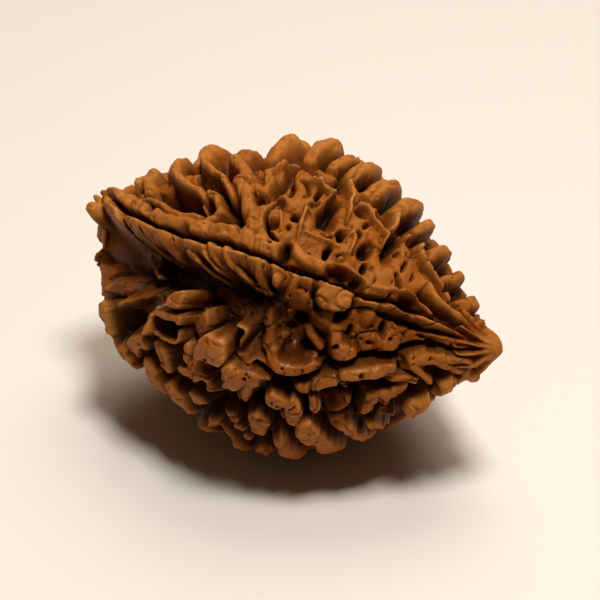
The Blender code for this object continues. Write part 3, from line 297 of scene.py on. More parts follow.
def ridge(points, half_width, power=2):
    """Raise a ridge along (x, degrees, top) points, with a lower and wider skirt beside it."""
    path = to_path(points)
    foot = SKIRT_SPREAD * half_width + SKIRT_FOOT
    grid, off, top = nearest(path, 1.1 * foot)
    value = top - FLANK * (off / (BREADTH * half_width)) ** (power + FULLNESS)
    skirt = top - SKIRT_DROP - FLANK * (off / foot) ** SKIRT_POWER
    value = np.maximum(value, skirt)
    height[grid] = soft_max(height[grid], value, ROUNDING)


def oval(u, v, half_along, half_round, tilt):
    """Distance from the middle of an oval turned by the tilt in degrees: 1 on its edge."""
    c, s = math.cos(math.radians(tilt)), math.sin(math.radians(tilt))
    return np.hypot((u * c + v * s) / half_along, (v * c - u * s) / half_round)


def knob(x, degrees, half_along, half_round, top, power, tilt=0):
    """Raise one domed, oval knob."""
    reach = 1.6 * max(half_along, half_round) + 0.3
    grid, u, v = around(row_of(x), math.radians(degrees), reach)
    u, v = u + wander_along[grid], v + wander_round[grid]
    share = oval(u, v, half_along, half_round, tilt) / KNOB_SPREAD
    value = top - FLANK * share ** power
    height[grid] = soft_max(height[grid], value, ROUNDING)


def island(x, degrees, top, radii):
    """Raise a flat-topped, steep-sided knob: its outline is given by eight radii,
    the first towards the beak, the third upwards."""
    grid, u, v = around(row_of(x), math.radians(degrees), max(radii) + 1.2)
    u, v = u + wander_along[grid], v + wander_round[grid]
    edge = np.interp(np.arctan2(v, u), EIGHT_WAYS, np.roll(radii, 4), period=2 * math.pi)
    inside = edge - np.hypot(u, v)
    crown = top - ISLAND_EDGE * np.exp(-np.maximum(inside, 0.0) / ISLAND_ROUND)
    outside = np.maximum(-inside, 0.0)
    value = crown - ISLAND_WALL * outside / (1.0 + ISLAND_FOOT * outside)
    height[grid] = soft_max(height[grid], value, ROUNDING)

print("ridges, knobs and islands can be raised")

# %% [markdown]
# ## Marks that sink
# Pits, cracks and slumps take height away. A high power of the distance gives a pit its steep
# wall and flat floor, and a bell curve gives a crack its soft shoulders.

# %% Sunk marks
PIT_POWER = 5


def pit(x, degrees, half_along, half_round, depth, tilt=0):
    """Sink a steep-walled, oval pit."""
    reach = 2.2 * max(half_along, half_round)
    grid, u, v = around(row_of(x), math.radians(degrees), reach)
    share = oval(u + 0.4 * wander_along[grid], v, half_along, half_round, tilt)
    height[grid] -= depth / (1.0 + share ** PIT_POWER)


def crack(points, half_width, depth):
    """Sink a narrow crack along (x, degrees) points."""
    grid, off, _ = nearest(plain_path(points), 3.0 * half_width)
    height[grid] -= depth * np.exp(-(off / (BREADTH * half_width)) ** 2)


def slump(points, half_width, drop):
    """Lower everything along (x, degrees) points."""
    grid, off, _ = nearest(plain_path(points), half_width)
    height[grid] -= drop * ease(1.3 * (1.0 - off / (BREADTH * half_width)))


def ground(points, half_width, level):
    """Ease the valley floor towards a level along (x, degrees) points."""
    grid, off, _ = nearest(plain_path(points), half_width)
    share = ease(1.4 * (1.0 - off / (BREADTH * half_width)))
    height[grid] += (level - height[grid]) * share


print("pits, cracks, slumps and low ground can be sunk")

# %% [markdown]
# ## The folded lobes
# Away from the seams the skin is a crowd of lobes pressed against each other. Seeds are set in
# jittered rows, one to three of them share a lobe, and the height falls where the nearest
# foreign seed is as close as the lobe's own: that gives tight dark folds between round lobes.

# %% Folded lobes
LOBE_PITCH = 1.8
LOBE_JITTER = 0.36
LOBE_JOIN = 2.6
LOBE_CLEAR = 1.45
DOME_DEPTH = 0.3
DOME_STEEPNESS = 5.0
FOLD_DEPTH = (0.35, 1.0, 1.9)
FOLD_WIDTH = 0.3
FOLD_SHARPNESS = 3.0
LOBE_WANDER = 1.8

# Lobes given one by one, each a chain of places that it grows along: top, places (x, degrees)
FOLDS = (
    # Left of the trough and along the left outline
    (-.1, ((-7.75, 15.5), (-7.6, 11))), (-.5, ((-5.9, 20),)), (-.3, ((-10.3, 25),)),
    (-.45, ((-10.1, 9),)), (-.05, ((-9.8, -8), (-9.5, -15))), (-.25, ((-7.2, -2), (-6.2, -7), (-6.9, -12))),
    (-.5, ((-4.6, -4), (-4.4, -9))), (-.1, ((-8.2, -24), (-7.7, -30))), (-.1, ((-5.4, -19), (-5.3, -27))),
    (-.15, ((-3.8, -24), (-3.5, -31))), (-.2, ((-6.2, -38), (-5.6, -44))),
    # Under the large island, then the fluted lobes that make the lower outline
    (-.6, ((-2.2, -6), (-1.2, -8))), (-.4, ((-1.7, -16), (-1.5, -20))),
    (-.15, ((-.7, -26), (-.5, -33), (-.5, -41), (-.4, -50))), (-.45, ((.85, -21), (.9, -28), (1.0, -35))),
    (-.3, ((2.05, -19), (2.1, -26), (2.1, -33))), (-.1, ((1.5, -44), (1.6, -52), (1.6, -60))),
    (-.05, ((-2.4, -43), (-2.2, -50), (-2.2, -58))),
    (.15, ((3.4, -31), (3.4, -39), (3.35, -47), (3.3, -55), (3.3, -63))),
    (.05, ((5.1, -27), (5.1, -35), (5.1, -43), (5.1, -52), (5.1, -61))), (-.75, ((6.6, -15), (6.7, -19))),
    (.05, ((6.8, -28), (7.0, -36), (7.1, -45), (7.1, -55))), (.1, ((8.25, -36), (8.4, -46), (8.5, -57))),
    (-.5, ((8.1, -21), (9.1, -20), (8.7, -27))), (.35, ((9.7, -42), (9.7, -54), (9.7, -66))),
    (.2, ((11.5, -48), (11.5, -64))),
    # Broad lobes between the pitted face and the outline
    (-.35, ((-7.7, 93),)), (-.4, ((-5.6, 96), (-5.3, 99))), (-.35, ((-3.2, 101),)), (-.3, ((-1.2, 104),)),
    (-.35, ((.6, 107),)), (-.25, ((2.4, 110), (2.6, 113))), (-.3, ((3.9, 112), (4.1, 116))),
    (-.25, ((5.2, 111), (5.4, 117))), (-.3, ((6.6, 113), (6.8, 120))), (-.35, ((8.0, 115), (8.2, 123))),
    (-.4, ((9.5, 117), (9.6, 126))), (-.3, ((11.1, 116), (11.2, 126))), (-.45, ((1.6, 99),)),
    (-.4, ((3.6, 101),)), (-.4, ((5.6, 100),)), (-.35, ((7.4, 101),)), (-.3, ((9.2, 103),)),
)

# Where the marks set on open ground begin, below and above: (x, degrees)
OPEN_BELOW = ((-9.6, 33), (-6.7, 29), (-5.4, 12), (-4.8, 1), (-3.2, -1), (-.2, -2), (.3, -13),
              (5.8, -13), (7.0, -9), (9.5, -12), (12.0, -10))
OPEN_ABOVE = ((-9.6, 88), (-6, 92), (0, 97), (6, 97), (12.6, 97))
SHOWN_X = (-9.6, 12.6)
SHOWN_EDGE = 0.7
SHOWN_SINK = 0.75


def turn_gap(a, b):
    """The smaller turn between two places round the bead."""
    return (a - b + math.pi) % (2 * math.pi) - math.pi


def clearance(seed, others):
    """How far each of the other seeds lies from this one."""
    others = np.array(others)
    radius = np.interp(seed[0], row_along, row_radius)
    return np.hypot(others[:, 0] - seed[0], turn_gap(others[:, 1], seed[1]) * radius)


def lobe_seeds(rng):
    """Knob centres in jittered rows: (along, turn, lobe number, top of the lobe)."""
    seeds = []
    for row in np.arange(0.8, row_along[-1] - 0.4, LOBE_PITCH):
        radius = np.interp(row, row_along, row_radius)
        count = max(4, int(round(2 * math.pi * radius / LOBE_PITCH)))
        phase = rng.uniform()
        for k in range(count):
            along = row + LOBE_JITTER * LOBE_PITCH * rng.uniform(-1, 1)
            turn = 2 * math.pi * ((k + phase + LOBE_JITTER * rng.uniform(-1, 1)) / count % 1.0) - math.pi
            seeds.append([along, turn, len(seeds), -0.55 * rng.uniform() ** 1.5])
    placed = [[row_of(x), math.radians(t), -1 - i, top]
              for i, (top, chain) in enumerate(FOLDS) for x, t in chain]
    seeds = [s for s in seeds if clearance(s, placed).min() > LOBE_CLEAR]
    for i in rng.permutation(len(seeds)):
        gaps = clearance(seeds[i], seeds)
        near = int(np.argsort(gaps)[1])
        sizes = [s[2] for s in seeds]
        if gaps[near] < LOBE_JOIN and sizes.count(seeds[near][2]) < 3 and sizes.count(seeds[i][2]) == 1:
            seeds[i][2], seeds[i][3] = seeds[near][2], seeds[near][3]
    return placed + seeds


def lobes(rng):
    """Rounded lobes that meet in deep folds, with shallow creases inside a lobe."""
    shape = height.shape
    near, other = np.full(shape, 9.0), np.full(shape, 9.0)
    owner, top = np.full(shape, 9999), np.zeros(shape)
    reach = 2.4 * LOBE_PITCH
    for along, turn, lobe, crown in lobe_seeds(rng):
        grid, u, v = around(along, turn, reach)
        u, v = u + LOBE_WANDER * wander_along[grid], v + LOBE_WANDER * wander_round[grid]
        off = np.hypot(u, v)
        same = owner[grid] == lobe
        first = off < near[grid]
        second = ~first & ~same & (off < other[grid])
        other[grid] = np.where(first & ~same, near[grid], np.where(second, off, other[grid]))
        near[grid] = np.where(first, off, near[grid])
        owner[grid] = np.where(first, lobe, owner[grid])
        top[grid] = np.where(first, crown, top[grid])
    dome = DOME_DEPTH * (near / np.maximum(other, near)) ** DOME_STEEPNESS
    rim = np.maximum(other - near, 0.0) / 2.0
    shallow, blunt_end, middle = FOLD_DEPTH
    deepest = blunt_end + (middle - blunt_end) * ease((row_x[:, None] + 8.5) / 6.0)
    depth = shallow + (deepest - shallow) * ease(0.75 + 0.9 * cell_noise(skin, 2.2, 31))
    return top - dome - depth * np.exp(-(rim / FOLD_WIDTH) ** FOLD_SHARPNESS)


def shown_share():
    """1 where the listed marks cover the bead, easing to 0 outside."""
    low = np.radians(np.interp(row_x, *zip(*OPEN_BELOW)))[:, None]
    high = np.radians(np.interp(row_x, *zip(*OPEN_ABOVE)))[:, None]
    round_in = np.minimum(column_turn[None, :] - low, high - column_turn[None, :]) * row_radius[:, None]
    along_in = np.minimum(row_x - SHOWN_X[0], SHOWN_X[1] - row_x)[:, None]
    return ease(np.minimum(round_in, along_in) / SHOWN_EDGE + 0.5)


chance = np.random.default_rng(SCENE_SEED)
lumps = lobes(chance)
VALLEY = -1.55
shown = shown_share()
height = lumps + (np.maximum(0.4 * lumps, VALLEY) - SHOWN_SINK - lumps) * shown
print("lobes laid, lowest fold", round(height.min(), 2), "mm")

# %% [markdown]
# ## Low ground
# Under the seam's lower lip lies a deep dark trough, and between the fluted knobs underneath
# the floor is low too. These stretches are lowered before the knobs are set on them.

# %% Low ground
# Flanks that lie inside the round outline: path, half width, how far
SLUMPS = (
    (((-8, 122), (-2, 130), (3, 141), (8, 152)), 2.2, 0.8),
    (((-7, -50), (0, -62), (5, -68), (12, -80)), 2.2, 0.7),
    (((-12.6, 40), (-11.4, 10)), 2.2, 0.8),
)
for place in SLUMPS:
    slump(*place)

# Places where the floor lies deeper or shallower than the common valley: path, half width, level
GROUND = (
    (((-12.2, 62), (-11, 48), (-9.6, 41), (-8, 34), (-5, 32), (-2, 31), (1, 28)), 2.6, -3.5),
    (((0, 24), (2.5, 24), (5.2, 22)), 2.2, -2.7),
    (((-6.5, 62), (-4.5, 72), (-4.2, 80)), 1.9, -2.7),
    (((-2, 62), (-1.6, 60)), 1.1, -2.5),
    (((1.0, 61), (3, 64), (6, 67), (9.5, 72)), 3.0, -0.72),
    (((1.8, 76), (5, 80), (9, 82)), 2.4, -0.8),
    (((8, 58), (10.5, 66), (12.5, 64)), 1.6, -0.6),
    (((-6.2, 11), (-7.4, 2), (-8.4, -8)), 0.9, -2.4),
    (((0.6, 24), (-0.8, 20)), 1.0, -2.8),
    (((6.5, 34), (7.5, 27), (9, 27)), 1.9, -1.3),
    (((-4.4, 14), (-3, 6)), 1.2, -2.0),
    (((.6, -4), (3, -6), (6, -9)), 1.3, -2.2),
    (((-9, 106), (-4, 108), (0, 112), (5, 114), (9, 113), (12, 112)), 2.3, -1.8),
)
for place in GROUND:
    ground(*place)
print(len(SLUMPS), "flanks and", len(GROUND), "low places")

# %% [markdown]
# ## Seams
# The stone splits along seams from end to end. Two show from the front, each a narrow crack
# between raised lips. The hidden ones get a beaded lip on either side.

# %% Seam lines
# Seams run from the blunt end to the beak: (x, degrees)
UPPER_SEAM = ((-13.2, 92), (-12.4, 78), (-11.4, 67), (-10.4, 61), (-9, 56.5), (-8, 54), (-7, 52.3),
              (-5.6, 50.8), (-4.6, 49.6), (-3, 49), (0, 48.8), (2, 48.6), (4.5, 49), (6.8, 48.6),
              (7.3, 47.8), (8, 48.6), (9, 49.5), (10, 50), (11, 50.5), (12, 51), (13.2, 52))
LOWER_SEAM = ((2.4, 6.5), (3.1, 4.2), (3.8, 1.9), (4.9, 1.9), (5.5, 4), (6.2, 6), (6.7, 9),
              (7.2, 11), (8, 14), (8.8, 14.6), (9.5, 15.5), (10, 19), (10.6, 22), (11.3, 21),
              (12, 16), (12.8, 9), (13.3, 5))
HIDDEN_SEAMS = (((-13, 160), (-9, 137), (-4, 143), (2, 139), (7, 146), (12, 141), (13.3, 138)),
                ((-13, -160), (-9, -138), (-3, -146), (3, -141), (8, -147), (13.2, -143)),
                ((-13, -60), (-9, -76), (-3, -70), (3, -78), (8, -88), (13.2, -95)))
SEAM_LIP_OFFSET = 0.5


def hidden_seam(seam, rng):
    """A cracked seam with a beaded lip on either side."""
    for side in (-1, 1):
        points = []
        for x in np.arange(-12.8, 13.1, 0.8):
            turn = np.interp(x, [p[0] for p in seam], [p[1] for p in seam])
            radius = max(1.0, np.interp(x, row_x, row_radius))
            offset = (SEAM_LIP_OFFSET + rng.uniform(-0.1, 0.1)) * side / radius
            points.append((x, turn + math.degrees(offset), -0.25 - 0.3 * rng.uniform()))
        ridge(points, 0.42, 2.8)
    crack(seam, 0.13, 1.1)


for seam in HIDDEN_SEAMS:
    hidden_seam(seam, chance)
print(len(HIDDEN_SEAMS), "hidden seams")

# %% [markdown]
# ## The lower lip
# The upper seam's lower lip is a row of thin plates laid over one another like shingles. Each
# begins on a slanted fold line, and all of them fall away into the trough.

# %% The lower lip
PLATES = ((-12.5, -0.1), (-10.4, 0.3), (-8.3, 0.35), (-4.5, 0.35), (-1.5, 0.3), (1.3, 0.35),
          (2.75, 0.45), (4.9, 0.35), (6.9, 0.8), (9.5, 0.6))
PLATE_SLANT = 1.25
PLATE_STEP = 0.25
LIP_SETBACK = 0.08
LIP_FALL = 3.0
LIP_REACH = 2.1


def lower_lip():
    """The upper seam's lower side: shingled plates that fall away into the trough."""
    seam = plain_path(UPPER_SEAM)
    line = np.interp(row_along, seam[:, 0], seam[:, 1])
    radius = row_radius[:, None]
    drop = (line[:, None] - column_turn[None, :]) * radius + 0.7 * wander_round
    fold = row_x[:, None] - PLATE_SLANT * np.clip(drop - 0.5, 0.0, 3.0) + 0.7 * wander_along
    starts = np.array([start for start, _ in PLATES])
    sinks = np.array([sink for _, sink in PLATES])
    plate = np.clip(np.searchsorted(starts, fold) - 1, 0, len(PLATES) - 1)
    ends = np.append(starts[1:], starts[-1] + 4.0)
    share = (fold - starts[plate]) / (ends[plate] - starts[plate])
    edge = ease((fold - starts[plate]) / 0.3)
    sink = sinks[plate] + (1.0 - edge) * 0.3
    fade = ease((drop - 0.2) / 1.3)
    lip = -sink - LIP_FALL * ease((drop - 0.35) / LIP_REACH)
    lip -= PLATE_STEP * ease(share) * (0.25 + 0.75 * fade)
    inside = (drop > LIP_SETBACK) & (drop < 3.4) & (row_x[:, None] < 7.4)
    side = 2.2 * np.clip(1.0 - (drop - LIP_SETBACK) / 0.16, 0.0, 1.0) ** 2
    height[:] = np.where(inside, soft_max(height, lip - side, ROUNDING), height)


lower_lip()
print("the lower lip has", len(PLATES), "plates")

# %% [markdown]
# ## Knobs and islands of the side that shows
# These are set one by one, like stones in a bed: the domes of the outline, the lumps of the
# pitted face, and the flat-topped islands beside the trough.

# %% Knobs
# Knobs of the side that shows: x, degrees, half sizes along and round, top, steepness and any tilt
KNOBS = (
    (2.5, 42.3, .3, .55, -.35, 4, -8),
    (-13.1, 88, .5, .9, .45, 2.6), (-12.9, 56, .5, .7, .5, 2.6),
    (-1.85, 20.6, .26, .2, -1.2, 2.4),
    (-2.6, 17, .3, .5, -1.5, 2.4),
    (.62, -1.2, .42, 1.0, -.3, 4, -6),
    (6.95, 16.8, .92, .85, -.5, 4, -20),
    (9.0, 23.5, .95, 1.25, -.7, 4), (7.8, 39.5, .75, .95, -.8, 3),
    (9.95, 7.5, .38, 1.0, -.45, 2.8, 6),
    (.75, 65.5, .62, .95, -.55, 4, -8), (-1.8, 57.8, .62, .34, -.85, 3),
    (-1.4, 74.4, .8, .7, -.4, 2.8), (2.95, 68, .5, .8, -.62, 4),
    (5.25, 59.3, .3, .36, -.25, 2.2), (2.55, 57.2, .26, .32, -.3, 2.2),
    (6.05, 62, .35, .6, -.6, 2.4), (4.9, 54.5, .3, .3, -.6, 2.4),
    (-8.9, 58.8, .5, .5, -.4, 2.6), (-10.4, 71, .55, .6, -.3, 2.6),
    (-2.2, -7.5, .55, .5, -.8, 2.6), (-.7, -3.5, .5, .5, -1.3, 2.6),
    (.1, 6, .4, .5, -1.7, 2.6), (3.8, 31, .4, .4, -2.0, 2.4), (5.6, 31, .5, .5, -1.4, 2.6),
    (6.7, 38, .45, .6, -1.2, 2.4), (7.5, 31, .35, .5, -1.1, 2.4), (3.6, 18, .5, .5, -1.9, 2.6),
    (11.9, 84, .7, .6, -.3, 3), (5.4, 95, .45, .5, -.5, 3), (7.5, 94, .4, .5, -.35, 3),
)
for place in KNOBS:
    knob(*place)
print(len(KNOBS), "knobs")

# %% [markdown]
# ## Islands
# The bead's most striking knobs have flat, worn tops and steep sides. A round formula can't give
# their corners, so each outline is eight radii with even steps between them.

# %% Islands
FOOT = (.9, .8, .8, .8) * 2
# Flat-topped knobs that stand on open ground, and those the bead rests on: x, degrees, top, eight radii
ISLANDS = (
    (5.85, 42.4, -.3, (1.04, .88, .68, 1.04, 1.04, .94, .75, .88)),
    (-3.7, 22.5, -.35, (.55, 1.04, .61, .5, .55, .88, .55, .5)),
    (-1.9, 16.5, -1.0, (.36, .55, .99, .55, .36, .5, .88, .5)),
    (-.5, 10, -.1, (1.16, 1.26, 1.16, .94, .94, 1.43, .88, 1.1)),
    (-2.55, 3, -.7, (.36, .46, .83, .5, .36, .5, .88, .5)),
    (1.1, 1, -.25, (.66, .77, 1.1, .88, .83, .77, .99, .77)),
    (2.5, 1, -.3, (.83, .61, .55, .66, .99, .66, .55, .77)),
    (1.6, -8.5, -.75, (.33, .44, .79, .44, .33, .44, .83, .44)),
    (3.4, -8, -.2, (.66, .55, .66, .55, .55, .61, .66, .66)),
    (4.35, -15, -.25, (.5, .55, 1.43, .77, .46, .55, 1.32, .55)),
    (5.45, -10.5, -.35, (.35, .44, .68, .44, .35, .44, .72, .44)),
    # Knobs the bead rests on
    (-2.4, -100, .1, FOOT), (-1.9, -79, .1, FOOT), (.2, -89, 0, (.9, .8) * 4),
    (2.4, -100, .1, FOOT), (2.6, -79, .1, FOOT),
)
for place in ISLANDS:
    island(*place)
print(len(ISLANDS), "islands")

# %% [markdown]
# ## Lips and fins
# Lips, fins, folds, ribs and rims are all ridges: a line of (x, degrees, top) with a half
# width and, where it isn't 2, a steepness. The lips come first, then the tall fins behind them.

# %% Lips and fins
LIPS_AND_FINS = (
    # Folds of the lower lip's plates
    (((-9.1, 53.5, -.4), (-8.6, 50, -.5), (-8, 46.8, -.75), (-7.2, 43, -1.2), (-6.4, 40, -1.7),
      (-5.9, 37, -2.3)), .3),
    (((-6.2, 48.5, -.35), (-5.7, 44.5, -.6), (-5.3, 41, -1.2)), .5, 2.4),
    (((-4.25, 49, -.3), (-4.15, 45.5, -.45), (-3.6, 42.6, -.75), (-3.0, 40, -1.1), (-2.4, 37.5, -1.6),
      (-1.8, 35, -2.1)), .28),
    (((-2.7, 47.6, -.3), (-2.3, 44.5, -.5), (-1.8, 41.5, -1.0)), .5, 2.4),
    (((-1.15, 48.2, -.22), (-.95, 45, -.35), (-.5, 42.4, -.6), (.2, 40.8, -1.0), (.9, 38.4, -1.5),
      (1.6, 36, -2)), .28),
    (((1.3, 47, -.35), (1.4, 43, -.6), (1.7, 39.5, -1.1), (2.1, 36, -1.8)), .36, 2.2),
    (((3.4, 47, -.35), (3.45, 42, -.7), (3.5, 38, -1.2)), .42, 2.4),
    # Upper lip along the seam, out to its rounded flap
    (((-12.9, 96, .2), (-12.3, 80, .3), (-11.4, 71, .0), (-9.6, 63, -.3), (-8.4, 58.5, -.35),
      (-7.2, 56, -.4), (-6, 54.3, -.35), (-5, 53.2, -.35), (-4, 52.6, -.3), (-3, 52.8, -.35),
      (-2, 52.9, -.3), (-1.1, 53.2, -.3), (0, 52.7, -.35), (1, 52.9, -.3), (2, 53, -.3)), .6, 4),
    (((2.8, 55.3, -.4), (3.7, 53.6, -.3), (4.6, 53.4, -.3)), .42, 3),
    (((5.2, 57.5, -.4), (6.2, 56.6, -.4), (7.2, 54.5, -.4), (8, 54.8, -.35), (8.7, 58, -.3),
      (9.2, 59.5, -.22), (9.7, 58.4, -.22), (10.1, 55, -.25), (10.4, 50.8, -.3),
      (10.8, 47.6, -.3)), .27),
    (((1.9, 53, -.4), (2.0, 50.4, -.5)), .3, 3),
    (((4.4, 53.5, -.35), (4.65, 50.9, -.45)), .32, 3),
    (((6.0, 56, -.5), (6.0, 51.5, -.8)), .22),
    (((7.1, 54, -.5), (7.3, 49.8, -.6)), .24),
    (((8.1, 54, -.45), (8.35, 50.6, -.6)), .24),
    # Crest on the far edge of the upper lip
    (((-9.2, 67, -.4), (-8.5, 65.2, -.35), (-7.8, 64, -.35), (-7, 62, -.4), (-6.3, 60.3, -.45),
      (-5.5, 59.2, -.5), (-4.7, 58.2, -.55), (-4.1, 58, -.6)), .3),
    # Tall thin fins behind the lip
    (((-8.2, 86, -.3), (-7.9, 84, -.1), (-7.3, 81, 0), (-6.6, 77, 0), (-6, 74.5, -.1),
      (-5.2, 71.3, -.3), (-4.7, 68, -.6)), .34, 1.6),
    (((-6.4, 94, -.1), (-5.7, 88, 0), (-5.2, 84.5, -.05), (-4.7, 82, -.15), (-4.2, 79.8, -.15),
      (-3.7, 77, -.15), (-3.2, 73.8, -.2), (-2.8, 71, -.35), (-2.5, 68.6, -.6)), .34, 1.6),
    (((-4.5, 70.8, -.55), (-4.1, 70, -.4), (-3.6, 67.5, -.4), (-3.1, 64.5, -.5), (-2.8, 61.5, -.6),
      (-3.1, 58, -.55), (-3.3, 55.5, -.45)), .36, 2.2),
    (((-4.7, 67.5, -.9), (-4.75, 65.5, -1.0), (-4.5, 63.2, -1.1), (-4.0, 61, -1.1),
      (-3.6, 59.8, -.9)), .13, 1.6),
    (((-2.9, 78.5, -.3), (-2.4, 75, -.25), (-2, 72.3, -.3), (-1.5, 69.6, -.3), (-1.1, 66, -.35),
      (-.8, 62, -.5), (-.5, 58, -.5), (-.4, 54.5, -.45)), .5, 2.6),
    (((-2.2, 79, -.35), (-2.9, 84, -.3), (-3.8, 90, -.25), (-4.6, 97, -.3)), .55, 2.2),
    (((-1.0, 73, -.4), (-.6, 76, -.4), (-.9, 80, -.4), (-1.4, 86, -.35), (-1.0, 93, -.3)), .42, 2.2),
)
for place in LIPS_AND_FINS:
    ridge(*place)
print(len(LIPS_AND_FINS), "lips and fins")

# %% [markdown]
# ## Crests of the pitted face
# Above the seam, thin crests wind between the pits and meet like the walls of a comb. They are
# kept low here, and one rim carries the seam on to the beak.

# %% Crests of the pitted face
FACE_CRESTS = (
    (((.45, 73.4, -.5), (.9, 73.6, -.45), (1.3, 72.2, -.5)), .16),
    (((1.05, 68, -.45), (1.45, 64.8, -.5), (1.7, 61.8, -.6)), .24),
    (((1.5, 86, -.45), (2.0, 88.3, -.3), (2.6, 87.8, -.3), (2.9, 89, -.3)), .2),
    (((2.85, 89, -.35), (2.95, 84, -.5), (3.1, 79.5, -.6)), .16),
    (((2.25, 79, -.45), (2.3, 75, -.3), (2.32, 71, -.3), (2.4, 67.3, -.3), (2.6, 64, -.35),
      (2.72, 61, -.4), (2.9, 59, -.6)), .2, 1.8),
    (((2.5, 74.6, -.45), (2.95, 72.8, -.5), (3.25, 70.2, -.6), (3.62, 67.4, -.6), (4.0, 68.6, -.55),
      (4.5, 67.6, -.55), (4.95, 69, -.5), (5.15, 72, -.45), (5.25, 75.5, -.4)), .17),
    (((3.2, 96, -.15), (3.6, 93, -.05), (4.0, 89.6, 0), (4.2, 86.5, -.1), (4.4, 84.3, -.2),
      (4.6, 81.8, -.3), (4.7, 78.5, -.5)), .2, 1.6),
    (((4.6, 90, -.2), (4.95, 91.6, -.15), (5.35, 90, -.15), (5.6, 87.5, -.2), (6.0, 86, -.25),
      (6.6, 85.2, -.3)), .2, 1.8),
    (((6.3, 97, -.1), (6.6, 91, -.1), (6.7, 87, -.15), (6.82, 82, -.3), (7.05, 76.5, -.5)), .22, 1.8),
    (((5.3, 74.5, -.5), (5.6, 70, -.5), (5.75, 66, -.25), (5.7, 63.5, -.4)), .22),
    (((3.0, 63.3, -.55), (3.6, 63.8, -.5), (4.2, 64.3, -.5), (4.9, 63.8, -.6)), .2),
    (((7.6, 83, -.4), (8.0, 79, -.5), (8.2, 74, -.6)), .18),
    (((8.3, 95, -.2), (8.6, 91, -.25), (9.1, 87.5, -.35), (9.9, 85, -.35), (10.5, 83, -.35),
      (10.8, 78, -.4)), .26),
    (((9.7, 74, -.4), (10.1, 70.5, -.25), (10.45, 67.2, -.15), (11.1, 66, -.2), (11.7, 63, -.2),
      (12.4, 60, -.2), (13.2, 58, -.15)), .36, 2.2),
    # Rim that carries the seam on to the beak
    (((6.9, 46.6, -.5), (7.5, 46.8, -.35), (8.3, 47.2, -.3), (9, 47.4, -.3), (10, 47.2, -.28),
      (10.7, 46.2, -.22), (11.5, 45.4, -.2), (12.3, 45.4, -.2), (13.2, 46, -.15)), .36, 2.4),
    (((9.0, 39, -.9), (9.2, 35, -.8), (9.45, 30, -.8)), .2),
    (((10.4, 36, -.5), (11.2, 34, -.35), (12.2, 33, -.25), (13.2, 33, -.15)), .42, 2.4),
    (((11.2, 27, -.5), (12.2, 25, -.35), (13.2, 24, -.2)), .3, 2.2),
)
for place in FACE_CRESTS:
    ridge(*place)
print(len(FACE_CRESTS), "crests")

# %% [markdown]
# ## Ribs, folded knobs and the lower seam
# Ribs stand in the dark trough, knobs beside it are folded back on themselves, and broken lips
# follow the lower seam into the beak. All of them are short, thick ridges.

# %% Ribs and the lower seam
RIBS_AND_LIPS = (
    # Ribs in the trough
    (((-7.6, 40, -2.1), (-7.5, 34, -2.3), (-7.4, 29.5, -2.2), (-6.8, 26, -2.0)), .26, 1.8),
    (((-2.1, 31, -2.2), (-1.8, 28, -2.0), (-1.1, 26.3, -1.9)), .16, 1.8),
    (((2.75, 31.5, -2.3), (2.6, 27, -2.1), (2.65, 23, -1.9), (2.9, 19, -1.7), (2.85, 14, -1.3)), .5),
    (((4.9, 24, -2.1), (5.2, 20.5, -1.6), (5.7, 17, -1.2)), .4),
    (((5.1, 11.2, -1.2), (5.5, 12.6, -1.0)), .22),
    (((3.4, 36, -2.0), (4.0, 33, -2.2), (3.9, 29, -2.3)), .5),
    # Folded knobs left of the trough
    (((-3.3, 15.7, -.5), (-4.0, 14, -.45), (-4.7, 11.6, -.5)), .42, 4),
    (((-5.3, 9.5, -.6), (-5.5, 6, -.5), (-5.0, 3.7, -.45), (-4.3, 3.9, -.45), (-3.6, 5.3, -.5),
      (-3.1, 8, -.6), (-3.2, 11, -.7)), .19, 1.8),
    (((.35, 18.2, -1.3), (.6, 20, -1.1), (1.05, 20.2, -1.0), (1.35, 18.6, -1.0), (1.28, 15, -1.1),
      (1.2, 11.8, -1.4)), .24),
    (((.75, 4.6, -.5), (1.5, 3.6, -.4), (2.2, 2.2, -.4), (2.75, .2, -.5)), .45, 3.4),
    (((2.1, 1, -.45), (1.95, -4, -.5), (1.7, -8.5, -.65)), .42, 3),
    # Islands and lips along the lower seam
    (((3.25, 13.5, -.8), (3.45, 9, -.7), (4.1, 6.3, -.6), (4.9, 6.6, -.6), (5.4, 8.2, -.7)), .5, 3.4),
    (((6.35, 28, -1.0), (6.5, 24, -.7), (6.5, 21, -.6)), .42, 3),
    (((4.95, -2.2, -.6), (5.3, -2, -.55), (6, .4, -.5), (6.7, 1.6, -.45), (7.5, 4.4, -.3),
      (8.3, 5.2, -.3), (9.2, 4.8, -.35)), .6, 3.2),
    (((9.2, -1, -.6), (9.7, -8, -.5), (10.15, -15.5, -.45)), .34, 2.4),
    (((10.0, 0, -.55), (10.5, -10, -.45), (10.8, -19, -.4)), .34, 2.4),
    (((11.2, 2, -.45), (11.6, -10, -.4), (12.1, -22, -.35)), .34, 2.4),
    (((12.2, 4, -.35), (12.7, -10, -.3), (13.1, -25, -.2)), .3, 2.4),
    # Keel of the beak's underside
    (((11.0, -46, -.5), (10.9, -68, -.2)), .7, 3),
    (((12.4, -34, -.35), (12.4, -52, -.2), (12.4, -72, -.05)), .5, 2.8),
)
for place in RIBS_AND_LIPS:
    ridge(*place)
print(len(RIBS_AND_LIPS), "ribs and lips")

# %% [markdown]
# ## Tall knobs
# The upper outline is a row of tall knobs that stand apart. Each is a short ridge that climbs
# over the outline, so that it looks like a finger from the front and from behind.

